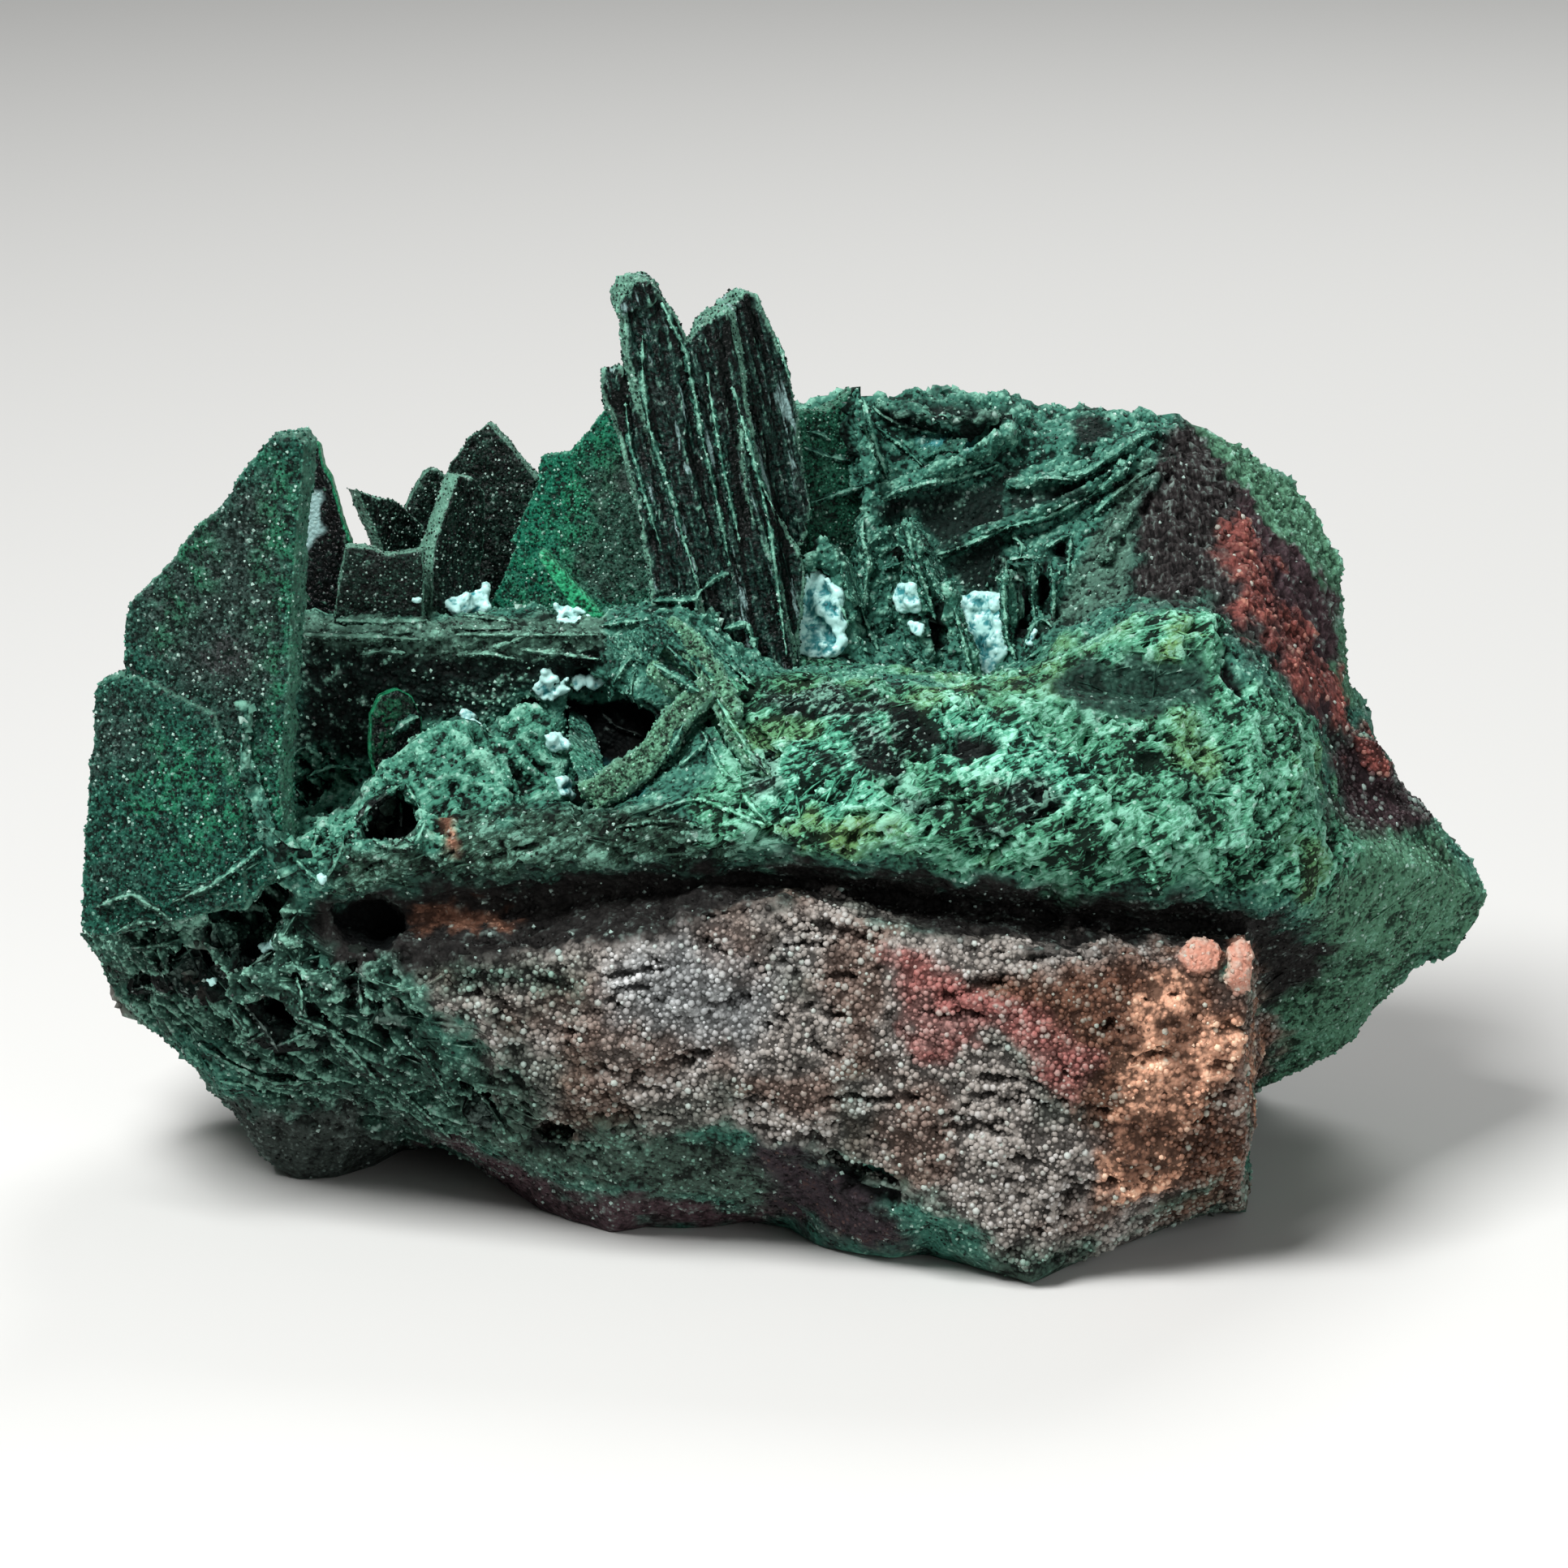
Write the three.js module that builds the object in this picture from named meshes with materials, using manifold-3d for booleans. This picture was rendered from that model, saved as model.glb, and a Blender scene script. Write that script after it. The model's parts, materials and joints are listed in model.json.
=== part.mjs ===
// Malachite pseudomorph after azurite: a hollow matrix with tabular crystals standing in it.
// Millimetres, +Z up, the open front towards -Y. The origin is the middle of the resting face.

import * as THREE from 'three';
import { LoftGeometry } from 'three/addons/geometries/LoftGeometry.js';
import { ImprovedNoise } from 'three/addons/math/ImprovedNoise.js';
import { mergeVertices } from 'three/addons/utils/BufferGeometryUtils.js';
import Module from 'manifold-3d';

const wasm = await Module();
wasm.setup();

// Driving dimensions
const middleHeight = 32.1;
const viewDistance = 560;
const viewRise = THREE.MathUtils.degToRad(15);
const stationSpacing = 2.7;
const skinRelief = { size: 5.5, height: 0.7 };
const lumpRelief = { size: 3, height: 0.35 };
const fineRelief = { scale: 2, share: 0.6 };
const ledgeRoot = 1.6;
const ledgeTaper = 0.06;
const pocketCover = 5;
const frontBladeLean = 8;
const crystalBevel = 0.2;
const socketGap = 0.3;
const weldDistance = 0.0005;
const belowBase = { width: 200, height: 40 };
const matrixFinish = { colour: 0x4d5a50, roughness: 0.85 };
const crystalRoughness = 0.6;

// The front is described as it is seen from a little above: every point is given as
// [across, up, depth], where depth is the distance behind the plane through the middle.
const middle = new THREE.Vector3(0, 0, middleHeight);
const ahead = new THREE.Vector3(0, Math.cos(viewRise), -Math.sin(viewRise));
const upright = new THREE.Vector3(0, Math.sin(viewRise), Math.cos(viewRise));
const sideways = new THREE.Vector3(1, 0, 0);
const eye = middle.clone().addScaledVector(ahead, -viewDistance);

function towards(across, up) {
  const target = middle.clone().addScaledVector(sideways, across).addScaledVector(upright, up);
  return target.sub(eye).normalize();
}

function seen(across, up, depth) {
  const ray = towards(across, up);
  return eye.clone().addScaledVector(ray, (depth - eye.y) / ray.y);
}

// The back and the base can't be seen, so their rails are [across, height, depth]
function unseen(across, height, depth) {
  return new THREE.Vector3(across * (1 + depth / viewDistance), depth, height);
}

// Rails of the matrix from left tip to right tip, in order from the front foot up over the top
const leftTip = [-54.3, -11.5, 2];
const rightTip = [54.4, -9, 8];
const seenRails = {
  foot: [
    [-51, -16, -2], [-46.3, -20.2, -5], [-44, -23.1, -7], [-32.2, -24, -7], [-26.3, -27.9, 0],
    [-22.9, -29.9, 0], [-19.1, -32.9, -7], [-14.1, -34.5, -12], [-0.4, -34, -12], [7.1, -37.1, -21],
    [11.5, -36, -18], [18.7, -38.9, -26.5], [22.8, -36.6, -20], [31.8, -33.1, -9], [35.4, -32.9, -8.5],
    [36.2, -23.9, 10], [42.8, -20.2, 12], [48.4, -14.4, 11], [52.1, -12.9, 9],
  ],
  faceFoot: [
    [-51, -14.6, -4], [-41.6, -20.9, -11], [-32.2, -21.8, -13], [-22.9, -26.8, -14],
    [-19.8, -28.4, -16], [-12.9, -26.6, -22], [-7.2, -25.8, -23.5], [3.4, -28.4, -25],
    [15.9, -34.9, -27.5], [25.9, -32.8, -25.5], [35.4, -29.6, -23], [36.2, -20.9, 4], [42.8, -18.1, 6],
    [48.4, -13.4, 7],
  ],
  faceMiddle: [
    [-51, -13.4, -8], [-41.6, -17.8, -15], [-29.1, -18.7, -20], [-16.6, -20.2, -25], [2.1, -19.6, -27.5],
    [20.9, -22.8, -29], [35.4, -20.9, -27], [36.2, -17.1, -2], [45.9, -14, 2],
  ],
  faceTop: [
    [-51, -12.4, -10], [-41.6, -14.6, -17], [-31.6, -14.3, -22], [-22.9, -13.7, -24.5],
    [-10.4, -11.2, -25.5], [-0.4, -8.2, -25], [8.4, -11, -26.5], [20.9, -12.9, -28],
    [35.4, -13.7, -26.5], [36.2, -14, -8], [45.9, -12.1, -3],
  ],
  undercut: [
    [-51, -11.2, -11], [-41.6, -11.5, -16.5], [-33.5, -10.2, -18], [-20.4, -9.6, -18.5],
    [-4.1, -7.2, -19.5], [8.4, -9, -19.5], [27.1, -10.9, -20], [37.1, -10.9, -16], [42.8, -11.2, -8],
    [49, -9.9, 0],
  ],
  lipUnder: [
    [-51, -9.9, -12], [-41.6, -9, -17.5], [-33.5, -7.4, -22], [-27.9, -6.4, -23], [-4.1, -5.4, -24],
    [8.4, -7, -25.5], [20.9, -8.2, -26.5], [38.4, -9.1, -21], [41.8, -9.9, -17], [43.1, -9, -10],
    [49, -8.4, -2],
  ],
  lipFront: [
    [-51, -8.9, -11.5], [-41.6, -5.9, -17], [-33.5, -4.9, -22], [-20.4, -4, -23.5], [-4.1, -3.1, -24.5],
    [8.4, -3.4, -27.5], [20.9, -4, -29], [30.2, -4.3, -27.5], [41.5, -5.2, -19], [43.1, -5.6, -12],
    [49, -6.2, -4],
  ],
  massFront: [
    [-51, -8.4, -10], [-41.6, -4.6, -15], [-33.5, -3.4, -20], [-11.6, -1.8, -22], [-4.1, 0.4, -21.5],
    [8.4, 2.2, -24], [20.9, 2.2, -25], [30.2, 4.1, -22], [38.4, 2.2, -19], [41.2, -0.9, -16],
    [43.1, -3.4, -8], [49, -4.9, -1],
  ],
  massTop: [
    [-51, -7.8, -8], [-41.6, -3.4, -12], [-33.5, -2.4, -17], [-15.4, -1.2, -19], [-10.4, -0.2, -18.5],
    [-5.4, 4.1, -17], [5.2, 7.2, -15], [17.8, 7.6, -16], [27.1, 11.9, -13.5], [31.5, 13.8, -12],
    [37.8, 7.9, -13], [41.5, -0.2, -12], [43.1, -2.1, -5], [49, -4, 1],
  ],
  trough: [
    [-51, -7.1, -5], [-41.6, -2.4, -7], [-33.5, -3.5, -11], [-15.4, -3.1, -12], [-10.4, 1.5, -14.5],
    [-5.4, 6.5, -13.5], [-1, 8.4, -10.5], [17.8, 8, -9], [27.1, 13.1, -8], [31.5, 14.2, -7], [37.8, 9.4, -8],
    [41.8, 1.6, -8], [43.4, -0.6, -2], [49.3, -3.2, 2],
  ],
  wallFoot: [
    [-51, -6.5, -2], [-41.6, -2.1, -4], [-37.9, -1.2, -5], [-33.5, 0.4, -6.5], [-15.4, 2.4, -7],
    [-12.8, 6.4, -10.5], [-10.4, 8, -12], [-5.4, 10, -11.5], [0, 9, -7], [5.2, 9, -5], [17.8, 8.4, -5],
    [27.1, 13.8, -4], [35.2, 14.1, -3], [40.9, 6.6, -4],
    [43.4, 0.4, 0], [49.6, -2.8, 3],
  ],
  shelfEdge: [
    [-51, -5.9, 1], [-41.6, 7.2, -2], [-38.8, 11.9, -6], [-32.2, 12.1, -8.5], [-19.8, 11, -8],
    [-14.1, 12.2, -8.5], [-10, 13.4, -10.5], [-6, 13.6, -9.5], [-2.2, 11, -5], [2.1, 9.6, -2],
    [14.6, 8.4, 0], [26.5, 14, -1],
    [31.5, 16.6, 0], [35.2, 16.3, 0], [42.4, 4.8, 1], [46.8, -0.6, 4], [52.1, -5.2, 6],
  ],
  shelfBack: [
    [-51, -5.2, 4], [-41.6, 9.1, 1], [-38.8, 13.2, -1], [-14.1, 13.6, 0], [-2.2, 14.1, 3],
    [14.6, 11.6, 4], [26.5, 17.2, 3], [30.2, 20.4, 4], [34.6, 20.4, 5], [41.5, 12.2, 4], [44, 2.9, 6],
    [49.9, -2.3, 7],
  ],
  wallMiddle: [
    [-51, -4.6, 8], [-41.6, 10.4, 7], [-38.8, 14.4, 6], [-19.8, 14.9, 6], [-14.1, 15.7, 6.5],
    [-6, 20.4, 8], [2.1, 22.9, 9], [20.9, 23.5, 10], [30.2, 25.4, 10], [34.6, 23.5, 11],
    [41.8, 14.8, 10], [44.6, 3.5, 10], [49.9, -2.2, 9],
  ],
  wallTop: [
    [-51, -4.3, 11], [-41.6, 11, 13], [-38.8, 14.8, 12], [-19.8, 15.2, 12], [-14.1, 17.2, 13],
    [-6, 24.1, 14], [1.2, 28.6, 14], [5.9, 30.4, 15], [17.1, 29.9, 16.5], [19.9, 28, 17],
    [23.4, 28.9, 17], [30.6, 28, 17], [36.5, 25.4, 17.5], [39, 23.5, 18], [40.2, 19.8, 18],
    [42.8, 17.2, 17], [43.2, 6.6, 15], [45.2, 4.1, 14], [46.6, 0.7, 13], [49.6, -2, 11], [52.1, -5.1, 9],
  ],
};
const unseenLeftTip = [-54.3, 19, 5];
const unseenRightTip = [54.4, 20.7, 9];
const unseenRails = {
  backShoulder: [
    [-51, 24, 15], [-46.3, 33, 19], [-41.6, 41, 20], [-32.2, 43, 19], [-19.8, 44, 20], [-10.4, 49, 21],
    [1.2, 54, 22], [11.5, 55, 24], [30.2, 53, 26], [39.6, 44, 25], [42.8, 39, 23], [43.3, 29, 22],
    [46.6, 26, 19], [49.6, 24.5, 15],
  ],
  backBelly: [
    [-51, 17, 14], [-46.3, 22, 21], [-41.6, 27, 26], [-32.2, 28, 28], [2.1, 30, 32], [20.9, 31, 34],
    [39.6, 28, 32], [42.8, 26, 29], [45.9, 23, 25], [49.6, 22, 18],
  ],
  backFoot: [
    [-51, 14, 9], [-46.3, 9, 15], [-41.6, 2, 20], [-32.2, -0.8, 25], [0, -0.8, 28], [30.2, -0.8, 27],
    [36.2, 2, 25], [39.6, 5, 24], [45.9, 12, 20], [49.6, 17, 14],
  ],
  baseMiddle: [
    [-51, 14, 4], [-46.3, 8, 6], [-41.6, 1.5, 9], [-32.2, -0.8, 16], [-24, -0.8, 17], [-14, -0.8, 10],
    [30.2, -0.8, 10], [36.2, 2, 18],
    [39.6, 5, 18], [45.9, 12, 16], [49.6, 17, 12],
  ],
  underFoot: [
    [-51, 13.5, 0], [-46.3, 10.5, -1], [-41.6, 4, 0], [-39.4, -0.8, 0.5], [-33, -0.8, 1],
    [-31.2, -0.8, 9], [-25.5, -0.8, 12.5], [-22.2, -0.8, 4], [-14.1, -0.8, -8], [2, -0.8, -8],
    [7.1, -0.8, -16], [18.7, -0.8, -20],
    [30.2, -0.8, -4], [35.4, -0.8, -2], [36.2, 5, 12], [42.8, 10, 13], [49.6, 17, 11],
  ],
};

function withTips(rail, first, last) {
  return [first, ...rail, last];
}

function railAt(rail, across) {
  const next = rail.findIndex((point) => point[0] >= across);
  const before = rail[next - 1];
  const after = rail[next];
  const share = (across - before[0]) / (after[0] - before[0]);
  return [1, 2].map((axis) => THREE.MathUtils.lerp(before[axis], after[axis], share));
}

function section(across) {
  const front = Object.values(seenRails).map((rail) => {
    return seen(across, ...railAt(withTips(rail, leftTip, rightTip), across));
  });
  const back = Object.values(unseenRails).map((rail) => {
    return unseen(across, ...railAt(withTips(rail, unseenLeftTip, unseenRightTip), across));
  });
  const count = front.length + back.length;
  const ring = new THREE.CatmullRomCurve3([...front, ...back], true, 'centripetal');
  const onRails = Array.from({ length: count }, (_, index) => index);
  const betweenFrontRails = front.map((_, index) => index + 0.5);
  const stops = [...onRails, ...betweenFrontRails].sort((a, b) => a - b);
  return stops.map((stop) => ring.getPoint(stop / count)).reverse();
}

// The lower block and the right wall end in crisp upright edges, with a station on each side
function stations() {
  const spans = [[-54, 35.4], [36.2, 42.7], [43.3, 54.1]];
  return spans.flatMap(([start, end]) => {
    const steps = Math.round((end - start) / stationSpacing);
    return Array.from({ length: steps + 1 }, (_, step) => {
      return THREE.MathUtils.lerp(start, end, step / steps);
    });
  });
}

function onlyPositions(geometry) {
  const plain = new THREE.BufferGeometry();
  plain.setAttribute('position', geometry.getAttribute('position'));
  plain.setIndex(geometry.index);
  return mergeVertices(plain, weldDistance);
}

const noise = new ImprovedNoise();

function roughen(geometry, { size, height }) {
  geometry.computeVertexNormals();
  const positions = geometry.getAttribute('position');
  const normals = geometry.getAttribute('normal');
  const point = new THREE.Vector3();
  const normal = new THREE.Vector3();
  for (let index = 0; index < positions.count; index += 1) {
    point.fromBufferAttribute(positions, index);
    normal.fromBufferAttribute(normals, index);
    const coarse = noise.noise(point.x / size, point.y / size, point.z / size);
    const fineSize = size / fineRelief.scale;
    const fine = noise.noise(point.z / fineSize, point.x / fineSize, point.y / fineSize);
    point.addScaledVector(normal, height * (coarse + fineRelief.share * fine));
    positions.setXYZ(index, point.x, point.y, point.z);
  }
  geometry.deleteAttribute('normal');
  return geometry;
}

const closedLoft = { closed: true, capStart: true, capEnd: true };
const skin = roughen(onlyPositions(new LoftGeometry(stations().map(section), closedLoft)), skinRelief);
const skinMesh = new THREE.Mesh(skin);

// The point of the matrix that is seen at [across, up]
function onSkin(across, up) {
  const caster = new THREE.Raycaster(eye, towards(across, up));
  return caster.intersectObject(skinMesh)[0].point;
}

// Closed meshes and solids
function toSolid(geometry) {
  const plain = onlyPositions(geometry);
  const mesh = new wasm.Mesh({
    numProp: 3,
    vertProperties: new Float32Array(plain.getAttribute('position').array),
    triVerts: new Uint32Array(plain.index.array),
  });
  return new wasm.Manifold(mesh);
}

function join(solids) {
  return solids.reduce((whole, solid) => whole.add(solid));
}

function largest(solid) {
  return solid.decompose().reduce((best, piece) => (piece.volume() > best.volume() ? piece : best));
}

function toGeometry(solid) {
  const { vertProperties, triVerts } = solid.getMesh();
  const geometry = new THREE.BufferGeometry();
  geometry.setAttribute('position', new THREE.BufferAttribute(vertProperties, 3));
  geometry.setIndex(new THREE.BufferAttribute(triVerts, 1));
  geometry.computeVertexNormals();
  return geometry;
}

// A flat crystal: its outline is [across, up] as seen, cast onto the plane through the anchor.
// It faces the front, turned to the right and leant back by the two angles in degrees.
function slab(outline, { anchor, turn = 0, lean = 0, thick, bevel = 0, grow = 0 }) {
  const turned = THREE.MathUtils.degToRad(turn);
  const leant = THREE.MathUtils.degToRad(lean);
  const facing = new THREE.Vector3(
    Math.sin(turned) * Math.cos(leant),
    -Math.cos(turned) * Math.cos(leant),
    Math.sin(leant),
  );
  const right = new THREE.Vector3(Math.cos(turned), Math.sin(turned), 0);
  const top = facing.clone().cross(right);
  const plane = new THREE.Plane().setFromNormalAndCoplanarPoint(facing, anchor);
  const corners = outline.map(([across, up]) => {
    const hit = new THREE.Ray(eye, towards(across, up)).intersectPlane(plane, new THREE.Vector3());
    const offset = hit.sub(anchor);
    return new THREE.Vector2(offset.dot(right), offset.dot(top));
  });
  const geometry = new THREE.ExtrudeGeometry(new THREE.Shape(corners), {
    depth: thick + 2 * grow - 2 * bevel,
    bevelEnabled: bevel > 0,
    bevelThickness: bevel,
    bevelSize: bevel,
    bevelOffset: grow - bevel,
    bevelSegments: 1,
  });
  geometry.translate(0, 0, bevel - grow - thick);
  const place = new THREE.Matrix4().makeBasis(right, top, facing).setPosition(anchor);
  return toSolid(geometry.applyMatrix4(place));
}

// The outline of a narrow blade along a line of [across, up] points, thinner at the far end
function bladeOutline(line, width, endWidth = width) {
  const points = line.map(([across, up]) => new THREE.Vector2(across, up));
  const sides = points.map((point, index) => {
    const before = points[Math.max(index - 1, 0)];
    const after = points[Math.min(index + 1, points.length - 1)];
    const along = after.clone().sub(before).normalize();
    const half = THREE.MathUtils.lerp(width, endWidth, index / (points.length - 1)) / 2;
    const offset = new THREE.Vector2(-along.y, along.x).multiplyScalar(half);
    return [point.clone().add(offset), point.clone().sub(offset)];
  });
  const there = sides.map(([left]) => left.toArray());
  const back = sides.map(([, rightSide]) => rightSide.toArray()).reverse();
  return [...there, ...back];
}

// A ledge that stands out of the wall along a line of [across, up] points on it
function ledge(line, { reach, thick, rise = 0, steps = 7 }) {
  const path = new THREE.CatmullRomCurve3(line.map(([across, up]) => onSkin(across, up)));
  const sections = path.getSpacedPoints(steps).map((point, index) => {
    const share = THREE.MathUtils.lerp(ledgeTaper, 1 - ledgeTaper, index / steps);
    const swell = Math.sqrt(Math.sin(Math.PI * share));
    const corner = (out, up) => {
      return point.clone().addScaledVector(ahead, -out).addScaledVector(upright, up);
    };
    return [
      corner(-ledgeRoot, -thick),
      corner(-ledgeRoot, thick),
      corner(reach * swell, thick / 2 + rise * swell),
      corner(reach * swell, -thick / 2 + rise * swell),
    ];
  });
  return toSolid(new LoftGeometry(sections, closedLoft));
}

// A rounded lump on the matrix, sunk into it by a part of its depth
function mound([across, up], { width, height, depth, sink, roll = 0 }) {
  const ball = onlyPositions(new THREE.IcosahedronGeometry(1, 1));
  ball.scale(width / 2, depth / 2, height / 2);
  ball.rotateY(THREE.MathUtils.degToRad(roll));
  const place = onSkin(across, up).addScaledVector(ahead, sink);
  ball.translate(place.x, place.y, place.z);
  return toSolid(roughen(ball, lumpRelief));
}

// A faceted pocket sunk into the matrix behind an outline of [across, up] points
function pocket(outline, { deep, turn = 0, lean = 0 }) {
  const count = outline.length;
  const across = outline.reduce((sum, point) => sum + point[0], 0) / count;
  const up = outline.reduce((sum, point) => sum + point[1], 0) / count;
  const anchor = onSkin(across, up).addScaledVector(ahead, -pocketCover);
  return slab(outline, { anchor, turn, lean, thick: pocketCover + deep });
}

// Ridges, fins and blades that are one with the matrix
const backRidge = {
  outline: [
    [5.6, 30.8], [6.3, 30.4], [7.1, 25.4], [8.1, 20.4], [9, 15.4], [10.1, 7.2], [6.4, 6.6],
    [5.6, 12.9], [6, 17.2], [6.3, 20.4], [5.8, 25.4],
  ],
  anchor: [7, 19, 3.6], turn: 24, lean: 12, thick: 2.6,
};
const archFin = {
  outline: [
    [1.5, 16.6], [2, 18.4], [2.8, 19], [3.7, 18.6], [4.8, 17.1], [5.6, 14.1], [7.1, 6.6], [4.6, 6.6],
    [4.3, 14.1], [3.5, 16.3], [2.6, 17.2], [2.1, 15.4],
  ],
  anchor: [4, 14, -1.5], turn: 12, lean: 6, thick: 2.4,
};
const tallFin = {
  outline: [
    [9.8, 20.9], [10.2, 20.1], [11.6, 17.2], [12.5, 14.8], [13.5, 11.6], [15, 6.2], [11.3, 6.2],
    [10.9, 10.4], [10.4, 14.1], [9.8, 18.5],
  ],
  anchor: [11, 14, -2.5], turn: 32, lean: 4, thick: 2,
};
const slimFin = {
  outline: [[9.2, 19.4], [9.6, 18.8], [10.1, 16], [10.6, 6.6], [8.9, 6.6], [8.8, 16.6]],
  anchor: [9.5, 14, -1], turn: -20, lean: 4, thick: 1.2,
};
const lowWedge = {
  outline: [[12.1, 16.3], [12.9, 15.1], [14.3, 11], [15.8, 6], [12.6, 6], [12, 11]],
  anchor: [13.5, 11, -4.5], turn: -15, lean: 8, thick: 1.8,
};
const fins = [backRidge, archFin, tallFin, slimFin, lowWedge];

// Upright ribs of the dark column at the foot of the back wall
const columnRibs = [16.9, 18.1, 19.4, 20.8, 22.2].map((across, index) => ({
  outline: bladeOutline([[across, 6.5], [across + 0.2, 17.6 - (index % 2)]], 0.9, 0.6),
  anchor: [across, 12, 0.2 + 0.5 * index], turn: 18, lean: 10, thick: 3,
}));

const wallLedges = [
  {
    line: [[6.2, 21.1], [9, 22.4], [12.1, 23.5], [14.9, 24.9], [17.1, 26.3], [18.5, 27.8]],
    reach: 3.2, thick: 0.9, rise: 0.8,
  },
  {
    line: [[11.8, 17.8], [14.6, 18.9], [20.9, 21.1], [25.6, 23.8], [29.1, 26.5]],
    reach: 2.6, thick: 0.6, rise: 0.5,
  },
  { line: [[17.1, 23.1], [22.1, 23.8], [27.1, 26.2], [29.1, 26.9]], reach: 2.2, thick: 0.6, rise: 0.4 },
  {
    line: [[6.8, 29], [8.4, 28], [11.5, 27.2], [14.6, 26.9], [17.4, 27.8], [19, 28]],
    reach: 3, thick: 0.7, rise: 1,
  },
  { line: [[23, 26], [25, 25.8], [28, 27.2]], reach: 1.6, thick: 0.5, rise: 0.3 },
  { line: [[24, 17.5], [26, 20], [29, 24], [30.6, 26.5]], reach: 2, thick: 0.7, rise: 0 },
];

const frontBlades = [
  {
    line: [[-41.4, 7.3], [-41.4, 1.3], [-39.4, -4], [-37.9, -7]],
    width: 1.3, depth: -20.5, thick: 1.6, endWidth: 2.4,
  },
  { line: [[-47.6, -9.1], [-44.4, -6.9], [-41, -4.5], [-38.4, -4.3]], width: 1.8, depth: -16, thick: 5 },
  { line: [[-41, -5.2], [-39.2, -8.4], [-38.3, -12.4]], width: 2.4, depth: -18.5, thick: 4 },
];

// Ridges and dark cells of the open network at the lower left
const networkBars = [
  {
    line: [[-46, -11.2], [-43.5, -12.4], [-41.3, -14.6], [-37.9, -16.8], [-32.9, -21.2], [-26.6, -27.2]],
    reach: 1.4, thick: 0.5,
  },
  { line: [[-52.5, -12.9], [-47.9, -14.2], [-44.8, -14.7], [-42.2, -15.6]], reach: 1.2, thick: 0.5 },
  { line: [[-42.9, -16.6], [-40.4, -19.8], [-37.9, -22.1], [-34.1, -22.2]], reach: 1.2, thick: 0.4 },
  { line: [[-45.4, -20], [-43.2, -21.3], [-40.4, -22.9], [-36.6, -23]], reach: 1.2, thick: 0.4 },
  { line: [[-53.4, -11.3], [-50.1, -9.4], [-47.9, -10.2], [-45.4, -11.3]], reach: 1.4, thick: 0.6 },
];
const networkPockets = [
  { outline: [[-50.5, -12.1], [-49.4, -11.4], [-47.9, -11.3], [-48.6, -12.3], [-50.1, -12.6]], deep: 1.6 },
  {
    outline: [
      [-40.5, -6.4], [-39.1, -9.6], [-38.4, -12.1], [-39.8, -13.7], [-41.3, -14.4], [-43.8, -13.1],
      [-45.4, -11.5], [-43.2, -9.9], [-41.6, -7.4],
    ],
    deep: 5,
  },
  {
    outline: [[-48.2, -15.6], [-46.9, -13.4], [-44.8, -13.2], [-43.2, -14.8], [-44.4, -16.8], [-46.9, -17.1]],
    deep: 2.2,
  },
  { outline: [[-51, -14.9], [-48.8, -15.2], [-48.2, -16.8], [-49.4, -16.9]], deep: 1.5 },
  { outline: [[-41.3, -17.4], [-39.1, -17.1], [-38.2, -18.7], [-38.5, -20.9], [-40.2, -19.2]], deep: 3 },
  { outline: [[-34.2, -15.2], [-33, -14.9], [-33, -16.8], [-34, -16.8]], deep: 1.8 },
  { outline: [[-31.9, -17.8], [-31, -17.3], [-31.1, -18.8], [-32, -18.8]], deep: 1.6 },
  { outline: [[-30.2, -18.1], [-29.1, -16.8], [-28.8, -18.1], [-30.1, -19]], deep: 1.8 },
  { outline: [[-25.4, -24], [-24.4, -23.7], [-22.9, -25.2], [-22.4, -26.5], [-23.5, -26.2]], deep: 2 },
  { outline: [[-41.6, -21.2], [-40.7, -20.8], [-40.1, -22.6], [-40.9, -22.6]], deep: 1.4 },
];
const lowerPockets = [
  {
    outline: [[-35.4, -11.5], [-33.5, -9.9], [-31, -9.6], [-29.4, -12.1], [-31.6, -13.4], [-34.1, -12.4]],
    deep: 3,
  },
  { outline: [[3.4, -29.6], [9.1, -31.4], [8.6, -32.4], [5, -31.8], [3, -30.6]], deep: 3 },
  { outline: [[-19.6, -27.4], [-16.4, -27.2], [-15.8, -28.6], [-18.8, -29]], deep: 2 },
];
const massPockets = [
  { outline: [[12.1, 3.9], [14.4, 4.2], [16.2, 3.1], [14.5, 2.3], [12.6, 2.8]], deep: 3.5 },
  { outline: [[20.2, 8.4], [24.4, 9.6], [29.6, 8.6], [33, 6.2], [28, 5.2], [22, 6]], deep: 2.2 },
  { outline: [[-5.4, 10.7], [-4.8, 11.6], [-3, 11.9], [-1.8, 9.6], [-2.2, 9], [-3.8, 9.4]], deep: 3 },
  { outline: [[-3.8, 4], [-3, 3.7], [-0.5, 1.1], [-0.9, 0.5], [-2.6, 1.6]], deep: 3 },
  { outline: [[-5.1, 3.4], [-3.8, 1.4], [-2.2, 0.2], [-0.6, -0.7], [-3.2, -1.2], [-4.3, 0.4]], deep: 2.6 },
  { outline: [[-6.5, 5.9], [-5.8, 7.1], [-4.7, 3.8], [-5.4, 3.4]], deep: 3 },
];
const vugPockets = [
  {
    outline: [
      [-16.8, 3.8], [-16.3, 6.6], [-15.6, 7.2], [-14.4, 6.3], [-11, 5.7], [-10.2, 3.8], [-10.4, 2.2],
      [-12.6, 0.7], [-14.1, -1.2], [-15.2, -1.5], [-16.4, 0.7],
    ],
    deep: 4,
  },
];

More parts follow.
